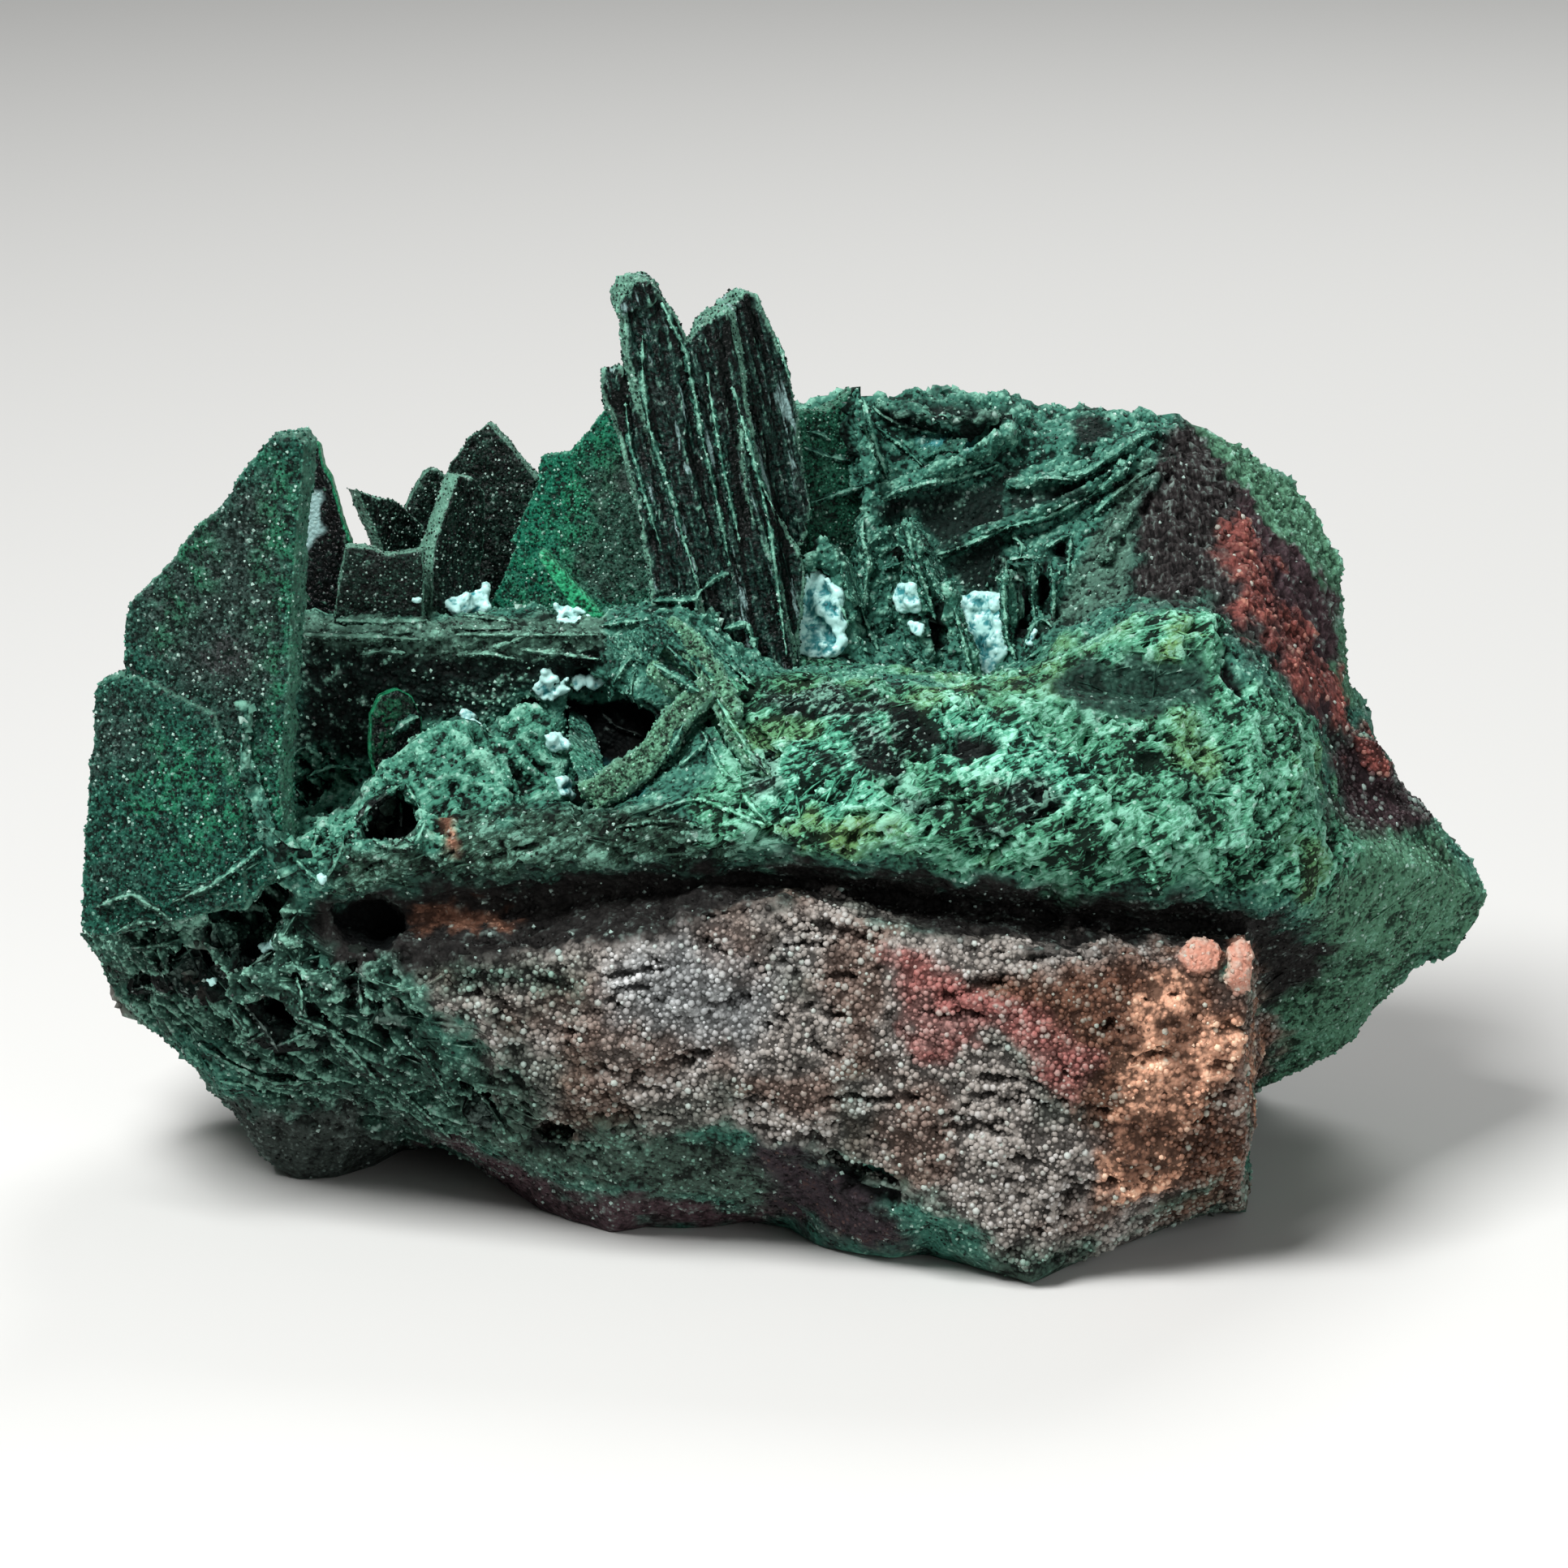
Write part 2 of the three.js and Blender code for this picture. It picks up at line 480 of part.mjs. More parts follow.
// Rounded hoods at the front of the left hollow, the first with a dark opening in it
const hoods = [
  {
    outline: [
      [-34, -5.2], [-33.5, -1.8], [-31, 1.9], [-29.1, 3.4], [-27.2, 4.6], [-25.7, 5.1], [-24, 4.6],
      [-22.4, 3.2], [-20.6, 0.4], [-19, -5.2],
    ],
    anchor: [-27, -1, -17.6], turn: -6, lean: 22, thick: 4.4, bevel: 1.2,
  },
  {
    outline: [
      [-23.6, -4.6], [-22.9, 2.2], [-21.6, 4.6], [-20, 6.2], [-18.4, 6], [-16.9, 3.8], [-16, -0.4],
      [-15.8, -4.6],
    ],
    anchor: [-19.4, 1, -14.6], turn: 10, lean: 14, thick: 4, bevel: 1.1,
  },
];
const hoodOpening = {
  outline: [[-29.8, -0.1], [-28.2, -2.4], [-29.1, -4.6], [-32.6, -3.8]],
  anchor: [-30, -2.6, -21], lean: 22, thick: 6,
};

const mounds = [
  { at: [32.1, -13.4], width: 3.2, height: 2.6, depth: 2.6, sink: 0.3 },
  { at: [34.8, -14.1], width: 2.2, height: 4.4, depth: 2.6, sink: 0.3, roll: 12 },
  { at: [44.6, 1], width: 5, height: 7, depth: 5, sink: 1.4, roll: -30 },
];

// Pale crust lumps between the feet of the crystals
const crustLumps = [
  { at: [2.6, 12.4], width: 3.4, height: 5.2, depth: 2.6, sink: 0.4 },
  { at: [15.6, 11.2], width: 3.2, height: 6, depth: 2.6, sink: 0.4 },
];

function slabAt(shape) {
  return slab(shape.outline, { ...shape, anchor: seen(...shape.anchor) });
}

function frontBlade({ line, width, depth, thick, endWidth }) {
  const [across, up] = line[Math.floor(line.length / 2)];
  const outline = bladeOutline(line, width, endWidth);
  return slab(outline, { anchor: seen(across, up, depth), lean: frontBladeLean, thick });
}

function matrixSolid() {
  const added = [
    ...fins.map(slabAt),
    ...columnRibs.map(slabAt),
    ...wallLedges.map((shape) => ledge(shape.line, shape)),
    ...frontBlades.map(frontBlade),
    ...hoods.map(slabAt),
    ...mounds.map((shape) => mound(shape.at, shape)),
    ...crustLumps.map((shape) => mound(shape.at, shape)),
  ];
  const bars = networkBars.map((shape) => ledge(shape.line, shape));
  const pockets = [...networkPockets, ...lowerPockets, ...massPockets, ...vugPockets];
  const pierced = pockets.reduce(
    (whole, shape) => whole.subtract(pocket(shape.outline, shape)),
    join([toSolid(skin), ...added]),
  );
  const below = new THREE.BoxGeometry(belowBase.width, belowBase.width, belowBase.height);
  below.translate(0, 0, -belowBase.height / 2);
  return join([pierced, ...bars]).subtract(slabAt(hoodOpening)).subtract(toSolid(below));
}

// Crystals that stand in the matrix as pieces of their own. A crystal of several slabs is
// grown together and is one piece.
const crystals = {
  left_plate: {
    colour: 0x2a4038,
    slabs: [
      {
        outline: [
          [-39.6, 26.6], [-37.7, 26.9], [-36.9, 26.1], [-37.5, 20], [-38.3, 7.2], [-38.8, 1],
          [-38.5, -6.2], [-41.6, -9.6], [-47.9, -10.2], [-51, -5.2], [-51, 12.2], [-50.4, 14],
          [-47.4, 16.9], [-45.6, 19.4], [-43.2, 21.6], [-42.4, 23.2],
        ],
        anchor: [-44.5, 8, -17.6], turn: -16, lean: 3, thick: 3.2,
      },
      {
        outline: [
          [-53, 7.7], [-51.6, 8.3], [-49.8, 8.2], [-44.1, 5.4], [-41.6, -2.1], [-41.6, -9],
          [-47.9, -11], [-53.4, -12], [-54.3, -10.8], [-53.6, 1.3], [-53.1, 3.8], [-53.3, 6],
        ],
        anchor: [-49, -1, -17.4], turn: -16, lean: 3, thick: 4.2,
      },
    ],
  },
  left_back_plate: {
    colour: 0x1a2420,
    slabs: [{
      outline: [
        [-37.6, 25.2], [-36.9, 26.1], [-36.1, 26.3], [-35.8, 26], [-35.5, 24.4], [-34.9, 23.5],
        [-33.9, 19.8], [-33.4, 18.6], [-34.1, 11.6], [-39.8, 11.6], [-41.4, 13.5], [-41.4, 19],
      ],
      anchor: [-37, 18, -2.6], turn: -6, lean: 5, thick: 1.7,
    }],
  },
  gable_plate: {
    colour: 0x1d3a30,
    slabs: [{
      outline: [
        [-32.9, 22.8], [-31.5, 22.1], [-29.8, 21.8], [-27.6, 19.8], [-26.9, 10.4], [-29.1, 10.4],
        [-30.4, 17.2],
      ],
      anchor: [-30.5, 19, 1.4], turn: 40, lean: 4, thick: 1.7,
    }],
  },
  block_plate: {
    colour: 0x16402c,
    slabs: [{
      outline: [
        [-33.8, 18.3], [-31.6, 18.1], [-31, 17.6], [-27.8, 18], [-27.7, 10.6], [-35.1, 10.6],
        [-34.3, 15],
      ],
      anchor: [-31, 14, -6.2], turn: 0, lean: 6, thick: 2,
    }],
  },
  edge_plate: {
    colour: 0x15382c,
    slabs: [{
      outline: [
        [-25, 23.9], [-23.8, 23.6], [-22.9, 22.4], [-23, 18], [-23.9, 14.1], [-24.6, 10],
        [-27.1, 10], [-27, 16.6], [-26.9, 18.4],
      ],
      anchor: [-24.6, 19, -1], turn: 42, lean: 3, thick: 1.8,
    }],
  },
  pointed_plate: {
    colour: 0x1b3a33,
    slabs: [{
      outline: [
        [-22.8, 27.9], [-19, 23.4], [-19.4, 20.4], [-20.4, 17.9], [-21.6, 10.4], [-26.2, 10.4],
        [-26.3, 22.9], [-26, 24.4], [-24.4, 26.6],
      ],
      anchor: [-22.5, 22, 5.4], turn: -10, lean: 4, thick: 1.8,
    }],
  },
  back_blade: {
    colour: 0x1b3f33,
    slabs: [{
      outline: [
        [-29.1, 21.3], [-27.8, 23.9], [-27.1, 24.3], [-26.3, 23.9], [-25.2, 22.6], [-25.4, 11.5],
        [-29.2, 11.5],
      ],
      anchor: [-27, 20, 8.6], turn: 8, lean: 2, thick: 1.4,
    }],
  },
  velvet_plate: {
    colour: 0x1f7a55,
    slabs: [{
      outline: [
        [-14, 28.8], [-13.4, 29.1], [-11, 27.9], [-8.6, 18.4], [-7.6, 10], [-23.2, 10],
        [-22.6, 13.8], [-20.5, 18.6], [-21.2, 18.6], [-18.8, 23.5], [-19, 24.4], [-18.6, 25.4],
        [-16.6, 25.5], [-15.1, 27.2],
      ],
      anchor: [-15, 18, -0.6], turn: -16, lean: 12, thick: 2,
    }],
  },
  green_lath: {
    colour: 0x2fae78,
    slabs: [{
      outline: [[-18.9, 17.9], [-18.4, 17.9], [-13.6, 12.6], [-13.9, 10.6], [-14.9, 11.2], [-19, 17.4]],
      anchor: [-16.5, 15, -4.6], turn: -8, lean: 0, thick: 1.1, bevel: 0.12,
    }],
  },
  spire_cluster: {
    colour: 0x23443a,
    slabs: [
      {
        outline: [
          [-14.1, 31.9], [-13.5, 32.1], [-12.4, 31.9], [-11.8, 31], [-9.4, 24.1], [-7.1, 16.6],
          [-6.5, 9.6], [-9.8, 9.6], [-10.4, 16.6], [-12.4, 26], [-13.9, 30.1],
        ],
        anchor: [-10, 20, -6.2], turn: -14, lean: 8, thick: 2,
      },
      {
        outline: [
          [-12.2, 36.3], [-12.1, 32.9], [-10.4, 26.6], [-7.9, 17.9], [-6.9, 9.4], [-2.6, 9.4],
          [-3.2, 15.4], [-5.4, 25.4], [-6.1, 29.8], [-7.4, 33.8], [-9.1, 36.9], [-9.8, 38.2],
          [-11.6, 38.2],
        ],
        anchor: [-8, 25, -5.6], turn: 8, lean: 6, thick: 3.6,
      },
      {
        outline: [
          [-12.8, 36.4], [-12.7, 37.6], [-11.6, 38.7], [-10.4, 38.8], [-9.6, 38.2], [-9.7, 37.2],
          [-11.4, 36.1], [-12.4, 35.8],
        ],
        anchor: [-11, 37, -5.2], turn: 8, lean: 6, thick: 4.4,
      },
      {
        outline: [
          [-7.2, 34.2], [-6.5, 35.2], [-4.8, 36.4], [-4.3, 36.6], [-3.9, 36.1], [-3, 30.4],
          [-1.5, 21.6], [0.8, 10.4], [0.8, 7.6], [-4.1, 7.6], [-3.8, 12.9], [-5.4, 25.4], [-6.8, 32.2],
        ],
        anchor: [-4, 25, -5.2], turn: 6, lean: 7, thick: 4.2,
      },
      {
        outline: [
          [-4.3, 36.4], [-2.8, 37.9], [-2.2, 37.6], [-1.3, 35.1], [0.4, 31.9], [0.9, 29.1],
          [2.1, 21.8], [1.2, 18], [0.6, 10], [-2.2, 10], [-2.6, 21.6], [-3.6, 29.1],
        ],
        anchor: [-1, 28, -1.6], turn: 24, lean: 6, thick: 3,
      },
      {
        outline: [[-3.2, 27.9], [-1, 22.2], [1.5, 16.9], [1.2, 8.6], [-0.6, 8.6], [-1.6, 17.9], [-2.9, 22.9]],
        anchor: [-0.6, 18, -5.4], turn: 30, lean: 5, thick: 1.2,
      },
    ],
  },
  fan_plate: {
    colour: 0x1f6a50,
    slabs: [{
      outline: [
        [1.1, 28.8], [3.4, 28.9], [4.6, 29.8], [5.5, 30.6], [6.9, 25.4], [7.4, 15.4], [1.9, 15.4],
        [1.6, 22.9],
      ],
      anchor: [4, 24, 6.4], turn: 16, lean: 10, thick: 2.4,
    }],
  },
  dark_flake: {
    colour: 0x123226,
    slabs: [{
      outline: [
        [-31.9, 2.6], [-31.8, 5.4], [-31.1, 6.8], [-29.8, 7.4], [-28.6, 6.8], [-27.8, 5.1], [-27.9, 1],
        [-29.1, -1.6], [-31, -1.6],
      ],
      anchor: [-29.8, 3, -12.2], turn: 14, lean: 10, thick: 1.4,
    }],
  },
  crossed_blades: {
    colour: 0x1c4a3a,
    slabs: [
      {
        outline: [
          [-11, 11], [-10.5, 12.2], [-8.5, 13], [-6.9, 11.9], [-4.4, 8.5], [-3.4, 6], [-4, 4.8],
          [-2.6, 2.6], [-0.6, 0.6], [-1, 0.2], [-3, 1.7], [-4.4, 3.8], [-5.4, 6.3], [-8.2, 10.1],
        ],
        anchor: [-5.1, 7.2, -16.2], turn: -10, lean: 42, thick: 1.6,
      },
      {
        outline: bladeOutline([[-10.4, 9.2], [-6.4, 6.8]], 1.1),
        anchor: [-8, 8, -15.6], turn: 6, lean: 36, thick: 1.8,
      },
      {
        outline: bladeOutline([[-5.8, 7.6], [-8.4, 5.2], [-9.5, 3.2], [-11, 1.5], [-15.2, -1.2]], 1.7, 2.6),
        anchor: [-9.6, 3, -18.6], turn: 0, lean: 20, thick: 2.4,
      },
    ],
  },
};

function crystalSolid({ slabs }, grow = 0) {
  return join(slabs.map((shape) => slabAt({ bevel: crystalBevel, ...shape, grow })));
}

function namedMesh(name, solid, { colour, roughness }) {
  const material = new THREE.MeshStandardMaterial({
    color: colour, roughness, metalness: 0, flatShading: true,
  });
  const mesh = new THREE.Mesh(toGeometry(solid), material);
  mesh.name = name;
  return mesh;
}

// Every crystal sits in its own socket, with a thin gap all round
function specimen() {
  const group = new THREE.Group();
  const names = Object.keys(crystals);
  const sockets = names.map((name) => crystalSolid(crystals[name], socketGap));
  const matrix = largest(sockets.reduce((whole, socket) => whole.subtract(socket), matrixSolid()));
  group.add(namedMesh('matrix', matrix, matrixFinish));
  names.forEach((name) => {
    const finish = { colour: crystals[name].colour, roughness: crystalRoughness };
    group.add(namedMesh(name, crystalSolid(crystals[name]), finish));
  });
  const box = new THREE.Box3().setFromObject(group);
  const centre = box.getCenter(new THREE.Vector3());
  group.position.set(-centre.x, -centre.y, -box.min.z);
  return group;
}

export default specimen();
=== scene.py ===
import json
import math

import bmesh
import bpy
import numpy as np
from bpy.props import FloatProperty, FloatVectorProperty, IntProperty, PointerProperty
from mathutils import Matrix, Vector
from mathutils.bvhtree import BVHTree

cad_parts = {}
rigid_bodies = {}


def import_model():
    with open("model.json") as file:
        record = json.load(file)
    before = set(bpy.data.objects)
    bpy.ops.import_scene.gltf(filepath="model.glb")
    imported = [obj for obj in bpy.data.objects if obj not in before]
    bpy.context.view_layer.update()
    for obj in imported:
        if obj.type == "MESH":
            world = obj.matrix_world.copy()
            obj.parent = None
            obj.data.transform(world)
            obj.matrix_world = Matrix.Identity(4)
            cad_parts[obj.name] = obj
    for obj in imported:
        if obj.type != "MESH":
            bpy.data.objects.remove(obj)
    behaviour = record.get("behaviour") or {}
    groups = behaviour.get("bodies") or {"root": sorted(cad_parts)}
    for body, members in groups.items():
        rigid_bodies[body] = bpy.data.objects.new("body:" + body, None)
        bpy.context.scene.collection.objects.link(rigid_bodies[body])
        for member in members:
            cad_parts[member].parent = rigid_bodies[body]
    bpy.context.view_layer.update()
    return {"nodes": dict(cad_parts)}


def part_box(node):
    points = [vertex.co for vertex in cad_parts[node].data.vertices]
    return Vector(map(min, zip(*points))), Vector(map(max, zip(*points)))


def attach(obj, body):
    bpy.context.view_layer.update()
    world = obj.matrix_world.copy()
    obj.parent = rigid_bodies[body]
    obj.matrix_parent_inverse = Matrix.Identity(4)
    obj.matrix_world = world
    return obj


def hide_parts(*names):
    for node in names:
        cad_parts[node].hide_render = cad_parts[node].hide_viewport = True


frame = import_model()

bl_info = {
    "name": "Malachite pseudomorph specimen",
    "version": (1, 0, 0),
    "blender": (4, 5, 0),
    "location": "View3D > Sidebar > Specimen",
    "description": "Rock, blade crystals, druse and crust of a malachite pseudomorph after azurite",
    "category": "Object",
}

MM = 0.001

# The camera stands before the open side and a little above it. The front of the specimen is
# described in its picture plane: millimetres across and up from the middle of the view.
VIEW_MIDDLE = Vector((-0.000378, -0.002344, 0.0321))
VIEW_DISTANCE = 0.56
VIEW_RISE = math.radians(15)
VIEW_WIDTH = 0.12075
VIEW_AHEAD = Vector((0, math.cos(VIEW_RISE), -math.sin(VIEW_RISE)))
VIEW_UP = Vector((0, math.sin(VIEW_RISE), math.cos(VIEW_RISE)))
VIEW_RIGHT = Vector((1, 0, 0))
EYE = VIEW_MIDDLE - VIEW_AHEAD * VIEW_DISTANCE
# Widths of the camera's sensor in mm and of the floor in metres
SENSOR_WIDTH = 36
FLOOR_WIDTH = 6


def linear(hex_colour):
    """Linear red, green and blue of a colour written as on screen."""
    parts = [int(hex_colour[start:start + 2], 16) / 255 for start in (0, 2, 4)]
    return tuple(c / 12.92 if c <= 0.04045 else ((c + 0.055) / 1.055) ** 2.4 for c in parts)


def colour_property(name, description, hex_colour):
    return FloatVectorProperty(
        name=name, description=description, subtype="COLOR", size=3, min=0, max=1,
        default=linear(hex_colour),
    )


def length_property(name, description, millimetres):
    return FloatProperty(
        name=name, description=description, subtype="DISTANCE", unit="LENGTH", min=0,
        default=millimetres * MM,
    )


def power_property(name, description, watts):
    return FloatProperty(name=name, description=description, unit="POWER", default=watts)


class SpecimenSizes(bpy.types.PropertyGroup):
    """Sizes of the surface detail."""

    rock_mesh: length_property("Rock mesh", "Width of the rock's mesh cells", 0.32)
    crystal_mesh: length_property("Crystal mesh", "Width of the crystals' mesh cells", 0.2)
    lumps: length_property("Lumps", "Height of the broad lumps on the rock", 0.55)
    fibres: length_property("Fibres", "Height of the fibrous ridges of the front mass", 0.65)
    pits: length_property("Pits", "Depth of the pits between the fibres", 1.4)
    cells: length_property("Cells", "Depth of the cells of the open network", 1.5)
    ribs: length_property("Ribs", "Height of the fine ribs of the back wall", 0.5)
    velvet: length_property("Velvet", "Height of the unevenness of the crystals' faces", 0.12)
    striation: length_property("Striation", "Depth of the grooves along the spires", 0.42)
    grain: length_property("Grain", "Radius of a druse grain", 0.18)
    grain_gap: length_property("Grain spacing", "Least distance between the druse grains", 0.4)
    back_gap: length_property("Back grain spacing", "Least distance between the back's grains", 0.9)
    face_grain: length_property("Face grain", "Radius of a rounded grain of the lower face", 0.23)
    face_gap: length_property("Face grain spacing", "Spacing of the lower face's grains", 0.36)
    seed: IntProperty(name="Seed", description="Seed of everything that is scattered", default=7)


class SpecimenColours(bpy.types.PropertyGroup):
    """Middle colours of the specimen's zones. Hollows are darker, as painted shade, and ridges paler, partly
    as painted highlight.
    """

    rock: colour_property("Rock", "Green-grey of the plain rock", "376d5e")
    mass: colour_property("Front mass", "Green of the fibrous front mass", "4b8e6f")
    # Partly painted light: the top and middle of the mass are brightest where the key light falls, and
    # partly the mineral's own brighter green.
    glow: colour_property("Bright malachite", "Mint green of the brightest parts of the mass", "4f9f82")
    gleam: colour_property("Mint tips", "Palest mint on the ridges of the front mass", "a6ecd2")
    lip: colour_property("Front lip", "Dark green of the front lip", "294236")
    hood: colour_property("Hood", "Pale green of the granular hood in the left hollow", "3f7c68")
    # Painted shadow: the near-black brown laid under the overhang, where the rim above keeps the light off.
    overhang: colour_property("Overhang", "Near-black brown under the overhang", "1e1d1c")
    face: colour_property("Lower face", "Grey-brown of the lower face", "958f89")
    silver: colour_property("Silver grains", "Silver grey patch of the lower face", "939696")
    crimson: colour_property("Crimson patch", "Crimson of the iron-stained patch", "9a625d")
    rust: colour_property("Rust band", "Brown of the stained right part of the lower face", "6a4a3b")
    orange: colour_property("Orange crust", "Orange-cream crust of the lower face", "d6a286")
    salmon: colour_property("Salmon lumps", "Salmon-pink lumps under the overhang", "bf8774")
    block: colour_property("Right block", "Brown-grey of the fibrous right block", "2a2727")
    vein: colour_property("Vein", "Orange-red vein of the right block", "7c453f")
    knobs: colour_property("Knobs", "Purple-brown knobs under the vein", "3d2f33")
    ledge: colour_property("Ledges", "Grey-green of the granular ledges in the left hollow", "47685b")
    yellow: colour_property("Yellowish malachite", "Yellowish green patches of the front mass", "6b965c")
    network: colour_property("Network", "Green-grey of the open network", "213f35")
    fringe: colour_property("Fringe", "Green-grey fringe round the lower face", "3d5147")
    tip: colour_property("Right tip", "Green of the right tip", "4e7c62")
    olive: colour_property("Low lump", "Dark olive-grey of the lowest lump", "363f3b")
    # Painted shade in the back of the left hollow and in the pockets; also the colour of the flats, the
    # scoop and the mass's dark patches.
    hollow: colour_property("Hollow", "Near-black green of the hollows", "10201c")
    crust: colour_property("Pale crust", "Cyan-white crust in the hollows", "b4e4de")
    teal: colour_property("Teal crust", "Teal of the shaded crust", "37868a")
    velvet: colour_property("Velvet plate", "Saturated green of the velvet plate", "0d5c46")
    lath: colour_property("Green lath", "Bright green of the single lath", "2a9467")
    fan: colour_property("Fan plate", "Green of the fan-shaped plate", "1c5440")
    plate: colour_property("Left plate", "Green-grey of the large left plate", "174a3d")
    back_plate: colour_property("Back plates", "Black-green of the plates behind the hollow", "10221c")
    gloss: colour_property("Glossy plates", "Near-black of the glossy crystal faces", "090e0e")
    mint: colour_property("Crystal edges", "Pale mint of the crystals' thin edges", "6a9c88")
    spire: colour_property("Spires", "Green-black of the striated spires", "132b26")
    streak: colour_property("Crust streaks", "Pale blue-grey crust along the spires", "7f9f9d")
    brown: colour_property("Brown bloom", "Charcoal-purple bloom on the crystal faces", "332b30")
    pale: colour_property("Pale green", "Palest green on the ridges of the rock", "8fcbb4")
    sparkle: colour_property("Sparkle", "Near-white of the brightest druse facets", "b4d0c6")


class StageSettings(bpy.types.PropertyGroup):
    """Floor and light."""

    floor: colour_property("Floor", "Pale floor and surroundings", "cdcdcb")
    key_power: power_property("Key light", "Power of the key light", 6.5)
    fill_power: power_property("Fill light", "Power of the fill light", 1.8)
    back_power: power_property("Back light", "Power of the back light", 2.2)
    surround: FloatProperty(
        name="Surround", description="Strength of the even light from all round", default=0.16,
    )


# Sockets that take part in plain arithmetic


class Wire:
    """A number that flows through a node tree."""

    def __init__(self, graph, socket):
        self.graph = graph
        self.socket = socket

    def maths(self, operation, *others, clamp=False):
        settings = {"operation": operation, "use_clamp": clamp}
        values = dict(enumerate([self, *others]))
        return self.graph.node("ShaderNodeMath", settings, values)

    def __add__(self, other):
        return self.maths("ADD", other)

    def __radd__(self, other):
        return self.maths("ADD", other)

    def __sub__(self, other):
        return self.maths("SUBTRACT", other)

    def __rsub__(self, other):
        return self.graph.value(other).maths("SUBTRACT", self)

    def __mul__(self, other):
        return self.maths("MULTIPLY", other)

    def __rmul__(self, other):
        return self.maths("MULTIPLY", other)

    def clamped(self):
        return self.maths("ADD", 0, clamp=True)

    def rising(self, low, high):
        """0 below low, 1 above high, smooth between them."""
        settings = {"interpolation_type": "SMOOTHSTEP"}
        return self.graph.node("ShaderNodeMapRange", settings, {"Value": self, 1: low, 2: high})


class Graph:
    """Nodes of a material or a geometry group, added by one method."""

    def __init__(self, tree):
        self.tree = tree

    def add(self, kind, settings=None, values=None):
        node = self.tree.nodes.new(kind)
        for name, value in (settings or {}).items():
            setattr(node, name, value)
        for name, value in (values or {}).items():
            if isinstance(value, Wire):
                self.tree.links.new(value.socket, node.inputs[name])
            else:
                node.inputs[name].default_value = value
        return node

    def node(self, kind, settings=None, values=None, output=0):
        return Wire(self, self.add(kind, settings, values).outputs[output])

    def value(self, number):
        node = self.tree.nodes.new("ShaderNodeValue")
        node.outputs[0].default_value = number
        return Wire(self, node.outputs[0])

    def noise(self, vector, scale, detail=3.0, roughness=0.55, distortion=0.0):
        values = {
            "Vector": vector, "Scale": scale, "Detail": detail, "Roughness": roughness,
            "Distortion": distortion,
        }
        return self.node("ShaderNodeTexNoise", {}, values)

    def cells(self, vector, scale, feature="F1", output="Distance"):
        values = {"Vector": vector, "Scale": scale}
        return self.node("ShaderNodeTexVoronoi", {"feature": feature}, values, output)

    def cell_numbers(self, vector, scale):
        """A number from 0 to 1 for each cell."""
        colour = self.cells(vector, scale, output="Color")
        return self.node("ShaderNodeSeparateColor", {}, {0: colour})

    def vector_maths(self, operation, values, output=0):
        return self.node("ShaderNodeVectorMath", {"operation": operation}, values, output)

    def stretched(self, vector, lengths, turn=0.0, axis=(0, 1, 0)):
        """Coordinates turned by degrees about an axis, in which a pattern grows as long as lengths."""
        values = {"Vector": vector, "Axis": axis, "Angle": math.radians(turn)}
        turned = self.node("ShaderNodeVectorRotate", {"rotation_type": "AXIS_ANGLE"}, values)
        return self.vector_maths("DIVIDE", {0: turned, 1: lengths})

    def blend(self, share, first, second):
        settings = {"data_type": "RGBA", "clamp_factor": True}
        return self.node("ShaderNodeMix", settings, {0: share, 6: first, 7: second}, 2)


# Outlines of the zones in the picture plane, in millimetres

MASS = [
    (-7.6, 7.2), (-3.8, 7.9), (0.9, 9.4), (8.4, 8.2), (14.6, 7.6), (20.2, 9.6), (23.7, 12.2),
    (28.4, 13.8), (32.1, 14.2), (35.2, 11), (39, 7.2), (41.5, 2.2), (42.1, -2.8), (45.2, -5.9),
    (42.1, -9.6), (33.4, -8.7), (22.1, -7.4), (10.9, -6.5), (2.1, -4.9), (-5.4, -4.6),
    (-6.6, -1.2), (-4.1, 0.4), (-6.6, 4.1),
]
# Bright zones of the mass: partly painted light on its lit top and middle, partly the mineral's brighter
# green.
MASS_GLOW = [
    (-2.2, 5.4), (1.2, 7.2), (5.9, 6), (9, 4.1), (8.4, 1), (7.8, -3.4), (2.8, -4.6), (-1.6, -2.8),
    (-0.4, 1),
]
CREST_GLOW = [
    (22.8, 10.4), (28.4, 12.6), (32.8, 12.2), (37.1, 7.2), (35.9, 5.4), (32.1, 8.5), (27.1, 10.4),
    (23.4, 9.4),
]
SLOPE_GLOW = [(9.6, 7.4), (14.6, 7), (20.2, 5.4), (24, 3), (23.4, -1.4), (17.1, -0.8), (12.1, 1.6)]
LIP = [
    (-35.7, -8.4), (-34.1, -4.6), (-27.9, -4.9), (-20.4, -1.5), (-10.4, -1.5), (-5.4, -4),
    (2.1, -4.9), (-6.6, -6), (-16.6, -6.4), (-25.4, -7.2), (-31, -7.9),
]
